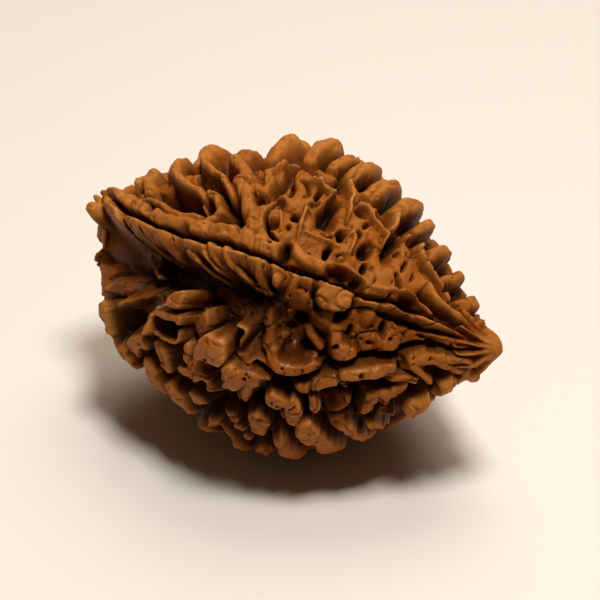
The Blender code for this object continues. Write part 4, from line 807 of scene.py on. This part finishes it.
# %% Tall knobs
TALL_KNOBS = (
    (((-8.3, 90, -.45), (-8.6, 98, -.2), (-8.7, 106, -.3)), .65, 2.2),
    (((-7.0, 98, -.5), (-7.1, 106, -.05), (-7.1, 114, .1), (-7.1, 122, -.2)), .78, 2.4),
    (((-4.6, 99, -.7), (-4.6, 106, -.35), (-4.6, 113, -.5)), .70, 2.4),
    (((-2.3, 98, -.5), (-2.3, 105, .0), (-2.3, 112, .4), (-2.3, 120, .1)), .83, 2.0),
    (((.0, 101, -.6), (.1, 108, .05), (.15, 115, .3), (.1, 122, .0)), .61, 2.6),
    (((1.7, 104, -.6), (1.8, 111, -.15), (1.8, 118, -.2)), .52, 2.4),
    (((2.9, 103, -.6), (3.0, 110, -.05), (3.05, 116, .1), (3.0, 123, -.1)), .56, 2.6),
    (((4.5, 99, -.5), (4.6, 105, -.2), (4.6, 112, .0), (4.6, 120, -.05), (4.6, 126, -.4)), .64, 2.8),
    (((6.1, 103, -.5), (6.2, 110, -.05), (6.3, 117, .15), (6.3, 125, -.1)), .54, 2.8),
    (((7.45, 104, -.6), (7.5, 112, -.1), (7.6, 119, .15), (7.6, 126, -.1)), .45, 2.6),
    (((8.95, 101, -.5), (9.0, 108, .0), (9.05, 116, .25), (9.05, 124, .1)), .54, 2.8),
    (((10.2, 94, -.5), (10.3, 101, -.1), (10.35, 110, .15), (10.3, 118, .15)), .49, 2.6),
    (((11.4, 88, -.5), (11.5, 98, .0), (11.55, 108, .3), (11.5, 120, .2)), .49, 2.8),
    (((12.5, 86, -.4), (12.5, 98, .1), (12.5, 108, .15), (12.5, 124, .1)), .39, 2.6),
    # Smooth folds at the blunt end
    (((-9.0, 73, -.3), (-9.7, 84, -.15), (-10.0, 96, -.05)), .55, 2.4),
    (((-11.4, 74, -.3), (-11.9, 88, -.15), (-12.0, 104, -.1)), .5, 2.4),
    (((10.3, 4.5, -.5), (11.2, 5, -.4), (12.2, 2, -.35), (13.2, -4, -.2)), .5, 2.8),
)
for place in TALL_KNOBS:
    ridge(*place)
print(len(TALL_KNOBS), "tall knobs and folds")

# %% [markdown]
# ## Cracks and pits
# The seams open as narrow cracks. The face above the seam is riddled with small steep pits,
# where the fruit's fibres were rooted.

# %% Cracks and pits
crack(UPPER_SEAM, 0.11, 1.1)
crack(LOWER_SEAM, 0.15, 1.6)
# Pits and hollows: x, degrees, half sizes along and round, depth and any tilt
PITS = (
    (-13.45, 80, .9, .9, 1.6),
    (-4.15, 64.5, .3, .3, 1.0), (-.95, 57.6, .16, .3, 1.3), (-.75, 70.4, .2, .2, .8),
    (-7.9, 60, .4, .26, .6), (-.15, 80.5, .34, .95, 1.4), (2.0, 68, .18, .2, .9),
    (2.0, 63, .1, .13, .6), (.75, 70.5, .28, .3, .5), (1.0, 61.6, .35, .3, .6),
    (-2.2, 86.2, .16, .5, .7), (-1.6, 91.5, .34, .6, .9), (2.3, 84, .15, .5, .8),
    (3.4, 79, .38, 1.2, 1.5), (3.9, 73, .3, .6, .7), (4.72, 70.8, .3, .36, 1.3),
    (4.9, 87.5, .36, .4, .5), (4.52, 60, .17, .36, 1.2), (2.5, 53, .3, .62, 1.2),
    (5.6, 52.4, .6, .4, 1.0), (6.65, 52.2, .35, .34, .8), (9.3, 54, .62, .62, 1.2),
    (7.25, 84, .4, 1.1, 1.2), (5.52, 83, .12, .3, .8), (5.5, 76.3, .18, .16, .9),
    (6.32, 70.5, .34, .62, 1.2), (6.68, 60.6, .16, .34, 1.0), (7.5, 72, .3, .5, .4),
    (7.76, 79.6, .1, .16, .7), (8.35, 76, .1, .5, .6), (8.92, 73, .1, .3, .5),
    (10.4, 88, .15, .5, .6), (5.8, 92.5, .4, .6, .9), (4.2, 67, .08, .1, .7),
    (8.33, 53.4, .08, .16, .5), (1.5, 54, .09, .08, .6), (4.5, 29, .4, .4, .9),
    (4.0, 23, .26, .26, .7), (5.0, 13.6, .34, .24, .8), (6.4, 34, .24, .36, .9),
    (7.15, 27, .15, .36, .9), (8.7, 32.4, .14, .42, 1.2), (1.3, 33, .4, .4, .6),
    (6.52, 19, .14, .14, .9), (8.2, 21, .14, .12, .5), (9.05, 25.2, .1, .12, .5),
    (-4.55, 7.9, .5, .42, .9, 25), (-.75, 5.6, .18, .07, .6, 20), (1.8, 1.7, .08, .1, .6),
    (7.85, 3.6, .14, .18, .4), (2.6, 80, .12, .2, .5), (-5.6, 35, .8, .5, .5),
    (3.0, -1.5, .3, .5, .6), (6.7, -9, .5, .3, .8),
)
for place in PITS:
    pit(*place)
print(len(PITS), "pits")

# Cracks and creases of the side that shows: points (x, degrees), half width, depth
CRACKS = (
    (((.25, 73), (.1, 70.5), (.08, 67.5), (.2, 64), (.6, 61), (1.2, 58.6), (1.75, 57)), .08, 1.1),
    (((0, 90), (.35, 85), (.7, 80.5), (.9, 77)), .1, .8),
    (((1.0, 85.5), (1.5, 84.6), (1.7, 82), (1.65, 79)), .11, .45),
    (((8.25, 66), (8.45, 63), (8.6, 59.2)), .11, .7),
    (((9.8, 63), (10.4, 60), (11.1, 56.5), (12, 54.5), (13, 54.5)), .26, .8),
    (((8.2, 45), (8.8, 42.3), (9.4, 40.6), (10.2, 39.5), (11.2, 39), (12.4, 39), (13.2, 40)), .2, .8),
    (((10.3, 31), (11.2, 30), (12.3, 29), (13.2, 28.5)), .16, .5),
    (((-4.5, 51), (-4.62, 47.5), (-4.4, 43.5)), .22, .9),
    (((1.95, 48), (2.05, 43), (2.3, 38)), .12, .6),
    (((4.6, 47.5), (4.85, 42), (5.15, 36)), .12, .6),
    (((6.9, 47), (6.82, 42), (6.7, 36)), .13, .7),
    (((-6.5, 24), (-6.45, 20), (-6.6, 15.5)), .09, .5),
    (((-4.3, 17.2), (-3.7, 18.2), (-3.1, 19)), .12, .6),
    (((-4.9, 9.6), (-4.2, 10.6), (-3.5, 12.6)), .12, .6),
    (((4.12, -11), (4.4, -9.6)), .06, .4),
    (((5.45, 3), (5.4, -6)), .08, .35), (((6.75, 6), (6.85, -4)), .08, .35),
    (((9.45, 10.5), (9.62, -1)), .09, .6), (((7.0, .5), (7.7, -1.9), (8.6, -2.2), (9.2, -1)), .1, .5),
    (((.55, 43.5), (.35, 46.5)), .1, .3), (((-2.8, 47.5), (-2.2, 43), (-1.4, 40)), .1, .35),
)
for place in CRACKS:
    crack(*place)
print(len(CRACKS), "cracks")

# %% [markdown]
# ## Fine grain
# What is left is too small to place by hand. Soft noise in three sizes roughens the knobs.
# Where another noise passes through zero it draws a winding line, and the skin is wrinkled
# along it. A few hundred pinholes, strewn with a fixed seed, prick the face above the seam.

# %% Grain and pinholes
# A last hollow between the islands
ground(((-2.4, 30), (-1.3, 27), (-0.8, 23), (0.0, 20.5)), 0.75, -2.8)
height += 0.15 * cell_noise(skin, 0.9, 21) + 0.06 * cell_noise(skin, 0.4, 22)
height += 0.03 * cell_noise(skin, 0.2, 23)
WRINKLES = ((1.3, 41, 0.05, 0.22), (0.6, 43, 0.06, 0.1))
for size, seed, width, depth in WRINKLES:
    folded = cell_noise(skin, size, seed)
    height -= depth * np.exp(-(folded / width) ** 2) * ease(0.7 + 1.4 * cell_noise(skin, 2.6, seed + 1))
PINHOLES = 420
for _ in range(PINHOLES):
    x, degrees = chance.uniform(-9.5, 12.0), chance.uniform(-40, 105)
    size = chance.uniform(0.045, 0.085)
    pit(x, degrees, size, size * chance.uniform(0.9, 1.6), chance.uniform(0.12, 0.4))

print("grain,", len(WRINKLES), "sets of wrinkles and", PINHOLES, "pinholes")

# %% [markdown]
# ## Underside and beak
# Valleys part the fluted knobs of the underside, and short pleats run into the beak like the
# gathers of a bag. Both follow the bead's own direction, so a loop can lay them.

# %% Valleys and pleats
for x, lean in ((-0.8, -0.2), (2.2, 0.1), (4.0, 0.1), (6.3, 0.2), (8.3, 0.3)):
    crack(((x, -32), (x + lean, -52), (x + 2 * lean, -76)), 0.3, 1.1)
height -= 0.5 * ease((row_x[:, None] - 12.3) / 0.6)
for degrees in (-72, -42, -14, 12, 31, 52, 80, 112, 150, 200, 240):
    ridge(((11.9, degrees + 3, -0.45), (12.7, degrees, -0.2), (13.45, degrees, -0.1)), 0.15)
print("the underside and the beak are fluted")

# %% [markdown]
# ## Last shaping of the sheet
# One flank lies inside the round outline, no trough may cut deeper than the bead is thick, and
# the relief dies away towards the beak, whose tip is smooth.

# %% Flank, floor and beak
FULL_RELIEF_RADIUS = 1.8
DEEPEST = 3.6
slump(((6.5, 152), (8.5, 150), (10.5, 150), (12, 150)), 4.2, 0.75)
height[:] = soft_max(height, -np.minimum(DEEPEST, 0.3 + 0.42 * girth), 0.5)
beak_share = ease(0.12 + 0.88 * girth / FULL_RELIEF_RADIUS)
height *= np.where(row_x[:, None] > 0, beak_share, ease(girth / 1.2))
print("heights from", round(height.min(), 2), "to", round(height.max(), 2), "mm")

# %% [markdown]
# ## From sheet to skin
# A ball of even triangles is added, and each of its points looks up its place on the sheet.
# An even ball avoids the pinched poles that a wrapped grid would have. The mesh is then
# thinned: the Decimate modifier keeps its triangles where the skin bends most.

# %% The ball moved to the sheet
def sphere_places(subdivisions):
    """A ball of near-equal triangles: its mesh and where its points lie on the sheet."""
    bpy.ops.mesh.primitive_ico_sphere_add(subdivisions=subdivisions, radius=1.0)
    ball = bpy.context.active_object
    flat = np.empty(3 * len(ball.data.vertices))
    ball.data.vertices.foreach_get("co", flat)
    spots = flat.reshape(-1, 3)
    spots /= np.linalg.norm(spots, axis=1)[:, None]
    along = np.arccos(np.clip(-spots[:, 0], -1, 1)) / math.pi * row_along[-1]
    turn = np.arctan2(spots[:, 2], -spots[:, 1])
    return ball, along, turn


def sample(field, along, turn):
    """Read a field of the sheet between its rows and columns."""
    rows, columns = field.shape[:2]
    row = np.clip(along / row_along[-1] * (rows - 1), 0, rows - 1.001)
    column = (turn + math.pi) / (2 * math.pi) * columns
    r0, c0 = np.floor(row).astype(int), np.floor(column).astype(int)
    fr, fc = row - r0, column - c0
    if field.ndim == 3:
        fr, fc = fr[:, None], fc[:, None]
    c1, c0 = (c0 + 1) % columns, c0 % columns
    near = field[r0, c0] * (1 - fc) + field[r0, c1] * fc
    far = field[r0 + 1, c0] * (1 - fc) + field[r0 + 1, c1] * fc
    return near * (1 - fr) + far * fr

# %% [markdown]
# ## What the surface remembers
# Dirt, wear and painted light follow the relief: folds are painted dark as dust and shade, and
# crests pale as wear and highlight. The sheet knows where they are, so five numbers are kept on
# every point of the mesh for the material to read: its depth, whether it stands proud of or
# sinks below its surroundings, how steep it is and how wet it looks.

# %% Depth, fold and wetness
def blurred(field, cells):
    """Average over a square of the sheet; the columns close round the bead."""
    size = 2 * cells + 1
    wide = np.pad(field, ((0, 0), (cells, cells)), mode="wrap")
    total = np.cumsum(np.pad(wide, ((0, 0), (1, 0))), axis=1)
    across = (total[:, size:] - total[:, :-size]) / size
    tall = np.pad(across, ((cells, cells), (0, 0)), mode="edge")
    total = np.cumsum(np.pad(tall, ((1, 0), (0, 0))), axis=0)
    return (total[size:] - total[:-size]) / size


def proud(millimetres):
    """How far each place stands above the average of its surroundings."""
    cells = max(1, int(millimetres / row_along[-1] * SHEET_ROWS))
    return height - blurred(blurred(height, cells), cells)


# Places that look wet: x, degrees, radius, how wet
WET = (
    (-0.5, 10, 1.3, 0.8), (1.1, 1, 0.9, 1.0), (2.5, 1, 0.9, 1.0), (3.5, -8, 0.8, 1.0),
    (4.4, -15, 0.9, 1.0), (-3.8, 22, 1.2, 1.0), (-4.6, 8, 1.3, 1.0), (-1.9, 17, 0.9, 0.9),
    (4.4, 7, 1.3, 0.8), (6.5, 0, 1.2, 0.9), (8.3, 5, 1.3, 0.8), (6.9, 17, 1.0, 0.9),
    (9.0, 23, 1.2, 0.8), (-2.2, 74, 1.5, 0.5), (5.5, -10, 0.6, 0.9), (1.6, -8.5, 0.6, 0.8),
    (-1.0, 57, 0.8, 0.5),
)


def wetness():
    """How wet each place looks, easing out round the wet spots."""
    total = np.zeros_like(height)
    for x, degrees, radius, amount in WET:
        grid, u, v = around(row_of(x), math.radians(degrees), 1.6 * radius)
        u, v = u + 2 * wander_along[grid], v + 2 * wander_round[grid]
        share = amount * ease(1.5 * (1.0 - np.hypot(u, v) / (1.5 * radius)))
        total[grid] = np.maximum(total[grid], share)
    return total


def walls():
    """How steep the sheet is: 0 on flat tops and floors, 1 on walls."""
    along_slope = np.gradient(height, row_along, axis=0)
    round_slope = np.gradient(height, column_turn, axis=1) / np.maximum(row_radius, 1.0)[:, None]
    return blurred(ease((np.hypot(along_slope, round_slope) - 0.7) / 1.8), 2)


FOLD_SIZE = 0.45
EDGE_SIZE = 0.15
memories = {"depth": height, "fold": proud(FOLD_SIZE), "edge": proud(EDGE_SIZE), "wall": walls(),
            "wet": wetness()}
print("stored:", ", ".join(memories))

# %% [markdown]
# ## The bead
# The ball's points take their places, the lowest knobs are flattened where the bead rests, and
# the memories are stored as attributes before the mesh is thinned.

# %% The bead itself
bpy.ops.object.select_all(action="DESELECT")
bead, along, turn = sphere_places(BALL_SUBDIVISIONS)
bead.name = "bead"
places = sample(wrapped(height), along, turn) + (*CENTRE_SHIFT, AXIS_HEIGHT)
places[:, 2] = np.maximum(places[:, 2], 0.0)
bead.data.vertices.foreach_set("co", (places * MM).ravel())
for name, field in memories.items():
    store = bead.data.attributes.new(name, "FLOAT", "POINT")
    store.data.foreach_set("value", sample(field, along, turn).astype("f4"))
bead.data.update()
faces = len(bead.data.polygons)
if faces > SKIN_TRIANGLES:
    thin = bead.modifiers.new("thin", "DECIMATE")
    thin.ratio = SKIN_TRIANGLES / faces
    bpy.ops.object.modifier_apply(modifier=thin.name)
bead.data.shade_smooth()
print("the bead has", len(bead.data.polygons), "triangles")

# %% [markdown]
# ## The finish
# The stone is woody, rubbed with oil and handled: warm brown on the crests, nearly black in the
# folds, where settled oil and dust are joined by painted shade, caramel and shiny where the oil
# lies thick. The colour follows the stored depth and fold, and two sizes of noise keep it from
# looking sprayed on.

# %% Node helpers
stone = bpy.data.materials.new("oiled_stone")
stone.use_nodes = True
tree = stone.node_tree


def node(kind, **settings):
    """A node of that kind with its settings; numbered inputs are given as i0, i1 and so on."""
    made = tree.nodes.new(kind)
    for name, value in settings.items():
        if name[0] == "i" and name[1:].isdigit():
            made.inputs[int(name[1:])].default_value = value
        else:
            setattr(made, name, value)
    return made


def ramp(source, *stops):
    """A colour ramp with (position, colour) stops fed by a value."""
    made = tree.nodes.new("ShaderNodeValToRGB")
    marks = made.color_ramp.elements
    while len(marks) < len(stops):
        marks.new(0.5)
    for mark, (position, colour) in zip(marks, stops):
        mark.position = position
        mark.color = (*colour, 1.0)
    tree.links.new(source, made.inputs[0])
    return made.outputs["Color"]


def spread(source, low, high, to_low=0.0, to_high=1.0):
    """Maps a range of values onto another, clamped at both ends."""
    made = node("ShaderNodeMapRange", i1=low, i2=high, i3=to_low, i4=to_high)
    tree.links.new(source, made.inputs[0])
    return made.outputs[0]


def mixed(share, first, second, blend="MIX"):
    """Two colours mixed by a share, which is a number or another node's value."""
    made = node("ShaderNodeMix", data_type="RGBA", blend_type=blend)
    for socket, value in ((made.inputs[0], share), (made.inputs[6], first), (made.inputs[7], second)):
        if hasattr(value, "links"):
            tree.links.new(value, socket)
        elif isinstance(value, tuple):
            socket.default_value = (*value, 1.0)
        else:
            socket.default_value = value
    return made.outputs[2]


def worked(operation, first, second):
    """Two values added or multiplied."""
    made = node("ShaderNodeMath", operation=operation)
    tree.links.new(first, made.inputs[0])
    tree.links.new(second, made.inputs[1])
    return made.outputs[0]


def stored(name):
    """A number kept on the mesh's points."""
    return node("ShaderNodeAttribute", attribute_name=name).outputs["Fac"]


print("a material with", len(tree.nodes), "nodes to start from")

# %% [markdown]
# ## The oiled stone
# Layers are mixed one over another, as a finish is built up on wood: the colour of the depth with
# painted shade in deep places, age in blotches, dust and painted shade in the folds, rubbed edges
# with a painted highlight, painted shade on the walls, oil and painted shade near the floor.

# %% The oiled stone
shader = tree.nodes["Principled BSDF"]
space = node("ShaderNodeTexCoord").outputs["Object"]


def noise(scale, detail, roughness=0.55):
    """Noise in the bead's own space."""
    made = node("ShaderNodeTexNoise", i2=scale, i3=detail, i4=roughness)
    tree.links.new(space, made.inputs[0])
    return made.outputs[0]


blotch = noise(380.0, 3.0)
mottle = noise(2200.0, 4.0)
grain = noise(9000.0, 3.0, 0.6)

depth_share = spread(stored("depth"), -3.2, 0.0)
# Colours from the deepest fold to the highest crest, the dark end painted shade as well as dirt: (share of
# the depth, colour)
DEPTH_SHADE_AND_DIRT_COLOURS = ((0.0, (0.014, 0.0035, 0.0007)), (0.18, (0.036, 0.0095, 0.0011)),
                 (0.31, (0.105, 0.025, 0.0024)), (0.5, (0.165, 0.038, 0.0026)),
                 (0.72, (0.3, 0.082, 0.0065)), (0.97, (0.46, 0.17, 0.03)))
RED_BROWN = (0.27, 0.065, 0.004)
OLD_OIL = (0.11, 0.026, 0.003)
# Painted shade with some dust, for the folds
FOLD_DUST_AND_SHADE = (0.006, 0.0012, 0.0003)
# Rubbed wear and a painted highlight, for the crest edges
RUBBED_EDGE_AND_HIGHLIGHT = (0.55, 0.24, 0.06)
# Painted shade, for sunken steep walls
PAINTED_WALL_SHADE = (0.03, 0.0075, 0.0011)
WET_TINT = (0.72, 0.42, 0.14)
# Painted shade, towards the floor
FLOOR_SHADE_TINT = (0.68, 0.46, 0.25)
# The depth ramp paints shade into the deep places, along with their dirt
shade_and_dirt_by_depth = ramp(depth_share, *DEPTH_SHADE_AND_DIRT_COLOURS)
warm = mixed(spread(blotch, 0.4, 0.62), shade_and_dirt_by_depth, RED_BROWN)
aged = mixed(0.35, shade_and_dirt_by_depth, warm)
speckled = mixed(spread(mottle, 0.35, 0.65, 0.0, 0.3), aged, OLD_OIL)
# Painted shade in the folds and creases, with some dust
dust_and_shade = mixed(spread(stored("fold"), -0.05, -0.55), speckled, FOLD_DUST_AND_SHADE)
# Edges and crests painted paler: rubbed wear plus a painted highlight
worn_and_highlit = mixed(spread(stored("edge"), 0.06, 0.26, 0.0, 0.6), dust_and_shade, RUBBED_EDGE_AND_HIGHLIGHT)
coordinates = node("ShaderNodeSeparateXYZ")
tree.links.new(space, coordinates.inputs[0])
above_floor = coordinates.outputs[2]
# Painted shade on sunken steep walls, stronger near the floor
steep = spread(stored("wall"), 0.2, 0.85, 0.0, 0.9)
shade = worked("MULTIPLY", spread(stored("depth"), -0.15, -0.7), steep)
shade = worked("MULTIPLY", shade, spread(above_floor, 0.013, 0.008, 0.45, 1.0))
wall_shaded = mixed(shade, worn_and_highlit, PAINTED_WALL_SHADE)
wet = stored("wet")
oiled = mixed(spread(wet, 0.0, 1.0, 0.0, 0.4), wall_shaded, WET_TINT, "MULTIPLY")
# Painted shade: the bead turns darker and warmer towards the floor
low = spread(above_floor, 0.0085, 0.0035, 0.0, 0.8)
floor_shaded = mixed(low, oiled, FLOOR_SHADE_TINT, "MULTIPLY")
tree.links.new(floor_shaded, shader.inputs["Base Color"])

rough = worked("ADD", spread(wet, 0.0, 1.0, 0.53, 0.29), spread(mottle, 0.3, 0.7, -0.06, 0.1))
tree.links.new(rough, shader.inputs["Roughness"])
shader.inputs["Specular IOR Level"].default_value = 0.2
shader.inputs["Specular Tint"].default_value = (1.0, 0.75, 0.48, 1.0)
tree.links.new(spread(wet, 0.3, 1.0, 0.0, 0.15), shader.inputs["Coat Weight"])
shader.inputs["Coat Roughness"].default_value = 0.22

fine_bump = node("ShaderNodeBump", i0=0.35, i1=0.00006)
tree.links.new(grain, fine_bump.inputs["Height"])
coarse_bump = node("ShaderNodeBump", i0=0.5, i1=0.00012)
tree.links.new(mottle, coarse_bump.inputs["Height"])
tree.links.new(fine_bump.outputs[0], coarse_bump.inputs["Normal"])
tree.links.new(coarse_bump.outputs[0], shader.inputs["Normal"])
bead.data.materials.append(stone)
print("the finish has", len(tree.nodes), "nodes")

# %% [markdown]
# ## In its place
# The piece stands for the solid, so the solid is hidden and the piece rides on the same body.

# %% The piece joins the frame
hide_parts("rudraksha_bead")
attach(bead, "root")
print("the bead stands for the solid")

# %% [markdown]
# ## The floor
# The bead lies on plain cream paper. One flat plane, far wider than the view, is enough.

# %% Floor
bpy.ops.mesh.primitive_plane_add(size=1.2)
floor = bpy.context.active_object
floor.name = "floor"
cream = bpy.data.materials.new("cream_paper")
cream.use_nodes = True
paper = cream.node_tree.nodes["Principled BSDF"]
paper.inputs["Base Color"].default_value = (0.77, 0.735, 0.69, 1.0)
paper.inputs["Roughness"].default_value = 0.85
floor.data.materials.append(cream)
print("the floor is", round(floor.dimensions.x, 2), "m wide")

# %% [markdown]
# ## Light
# A small soft light overhead, a wide weak one behind and a faint warm fill: that gives lit
# crests, a dark shadow close under the bead and a faint wide one in front.

# %% Lights
middle = Vector((CENTRE_SHIFT[0] * MM, CENTRE_SHIFT[1] * MM, AXIS_HEIGHT * MM))


def soft_light(name, place, size, power, colour):
    """An area light that looks at the bead's middle."""
    light = bpy.data.lights.new(name, "AREA")
    light.size = size
    light.energy = power
    light.color = colour
    lamp = bpy.data.objects.new(name, light)
    bpy.context.collection.objects.link(lamp)
    lamp.location = place
    lamp.rotation_euler = (middle - Vector(place)).to_track_quat("-Z", "Y").to_euler()


soft_light("main light", (0.0445, -0.030, 0.2), 0.05, 0.37, (1.0, 0.96, 0.91))
soft_light("back light", (-0.02, 0.09, 0.19), 0.14, 0.24, (1.0, 0.87, 0.74))
sky = bpy.data.worlds.new("fill")
sky.use_nodes = True
sky.node_tree.nodes["Background"].inputs[0].default_value = (1.0, 0.64, 0.38, 1.0)
sky.node_tree.nodes["Background"].inputs[1].default_value = 0.085
bpy.context.scene.world = sky
bpy.context.scene.view_settings.view_transform = "Standard"
print("two lights and a fill")

# %% [markdown]
# ## Camera
# The camera looks down at the bead from the front and a little from the right, where both
# seams show, and a long lens keeps the bead from bulging.

# %% Camera
AZIMUTH = math.radians(29.0)
ELEVATION = math.radians(33.0)
DISTANCE = 158.0 * MM
PIXELS_PER_WIDTH = 600.0
MIDDLE_PIXEL = PIXELS_PER_WIDTH / 2
FOCUS_PIXELS = 2697.0
AXIS_PIXEL = (293.67, 299.5)
towards = Vector((math.sin(AZIMUTH) * math.cos(ELEVATION), -math.cos(AZIMUTH) * math.cos(ELEVATION),
                  math.sin(ELEVATION)))
lens = bpy.data.cameras.new("camera")
lens.sensor_width = 36.0
lens.lens = FOCUS_PIXELS / PIXELS_PER_WIDTH * lens.sensor_width
lens.shift_x = (MIDDLE_PIXEL - AXIS_PIXEL[0]) / PIXELS_PER_WIDTH
lens.shift_y = -(MIDDLE_PIXEL - AXIS_PIXEL[1]) / PIXELS_PER_WIDTH
lens.clip_start = 0.001
camera = bpy.data.objects.new("camera", lens)
bpy.context.collection.objects.link(camera)
camera.location = middle + towards * DISTANCE
camera.rotation_euler = towards.to_track_quat("Z", "Y").to_euler()
bpy.context.scene.camera = camera
print("lens", round(lens.lens, 1), "mm")
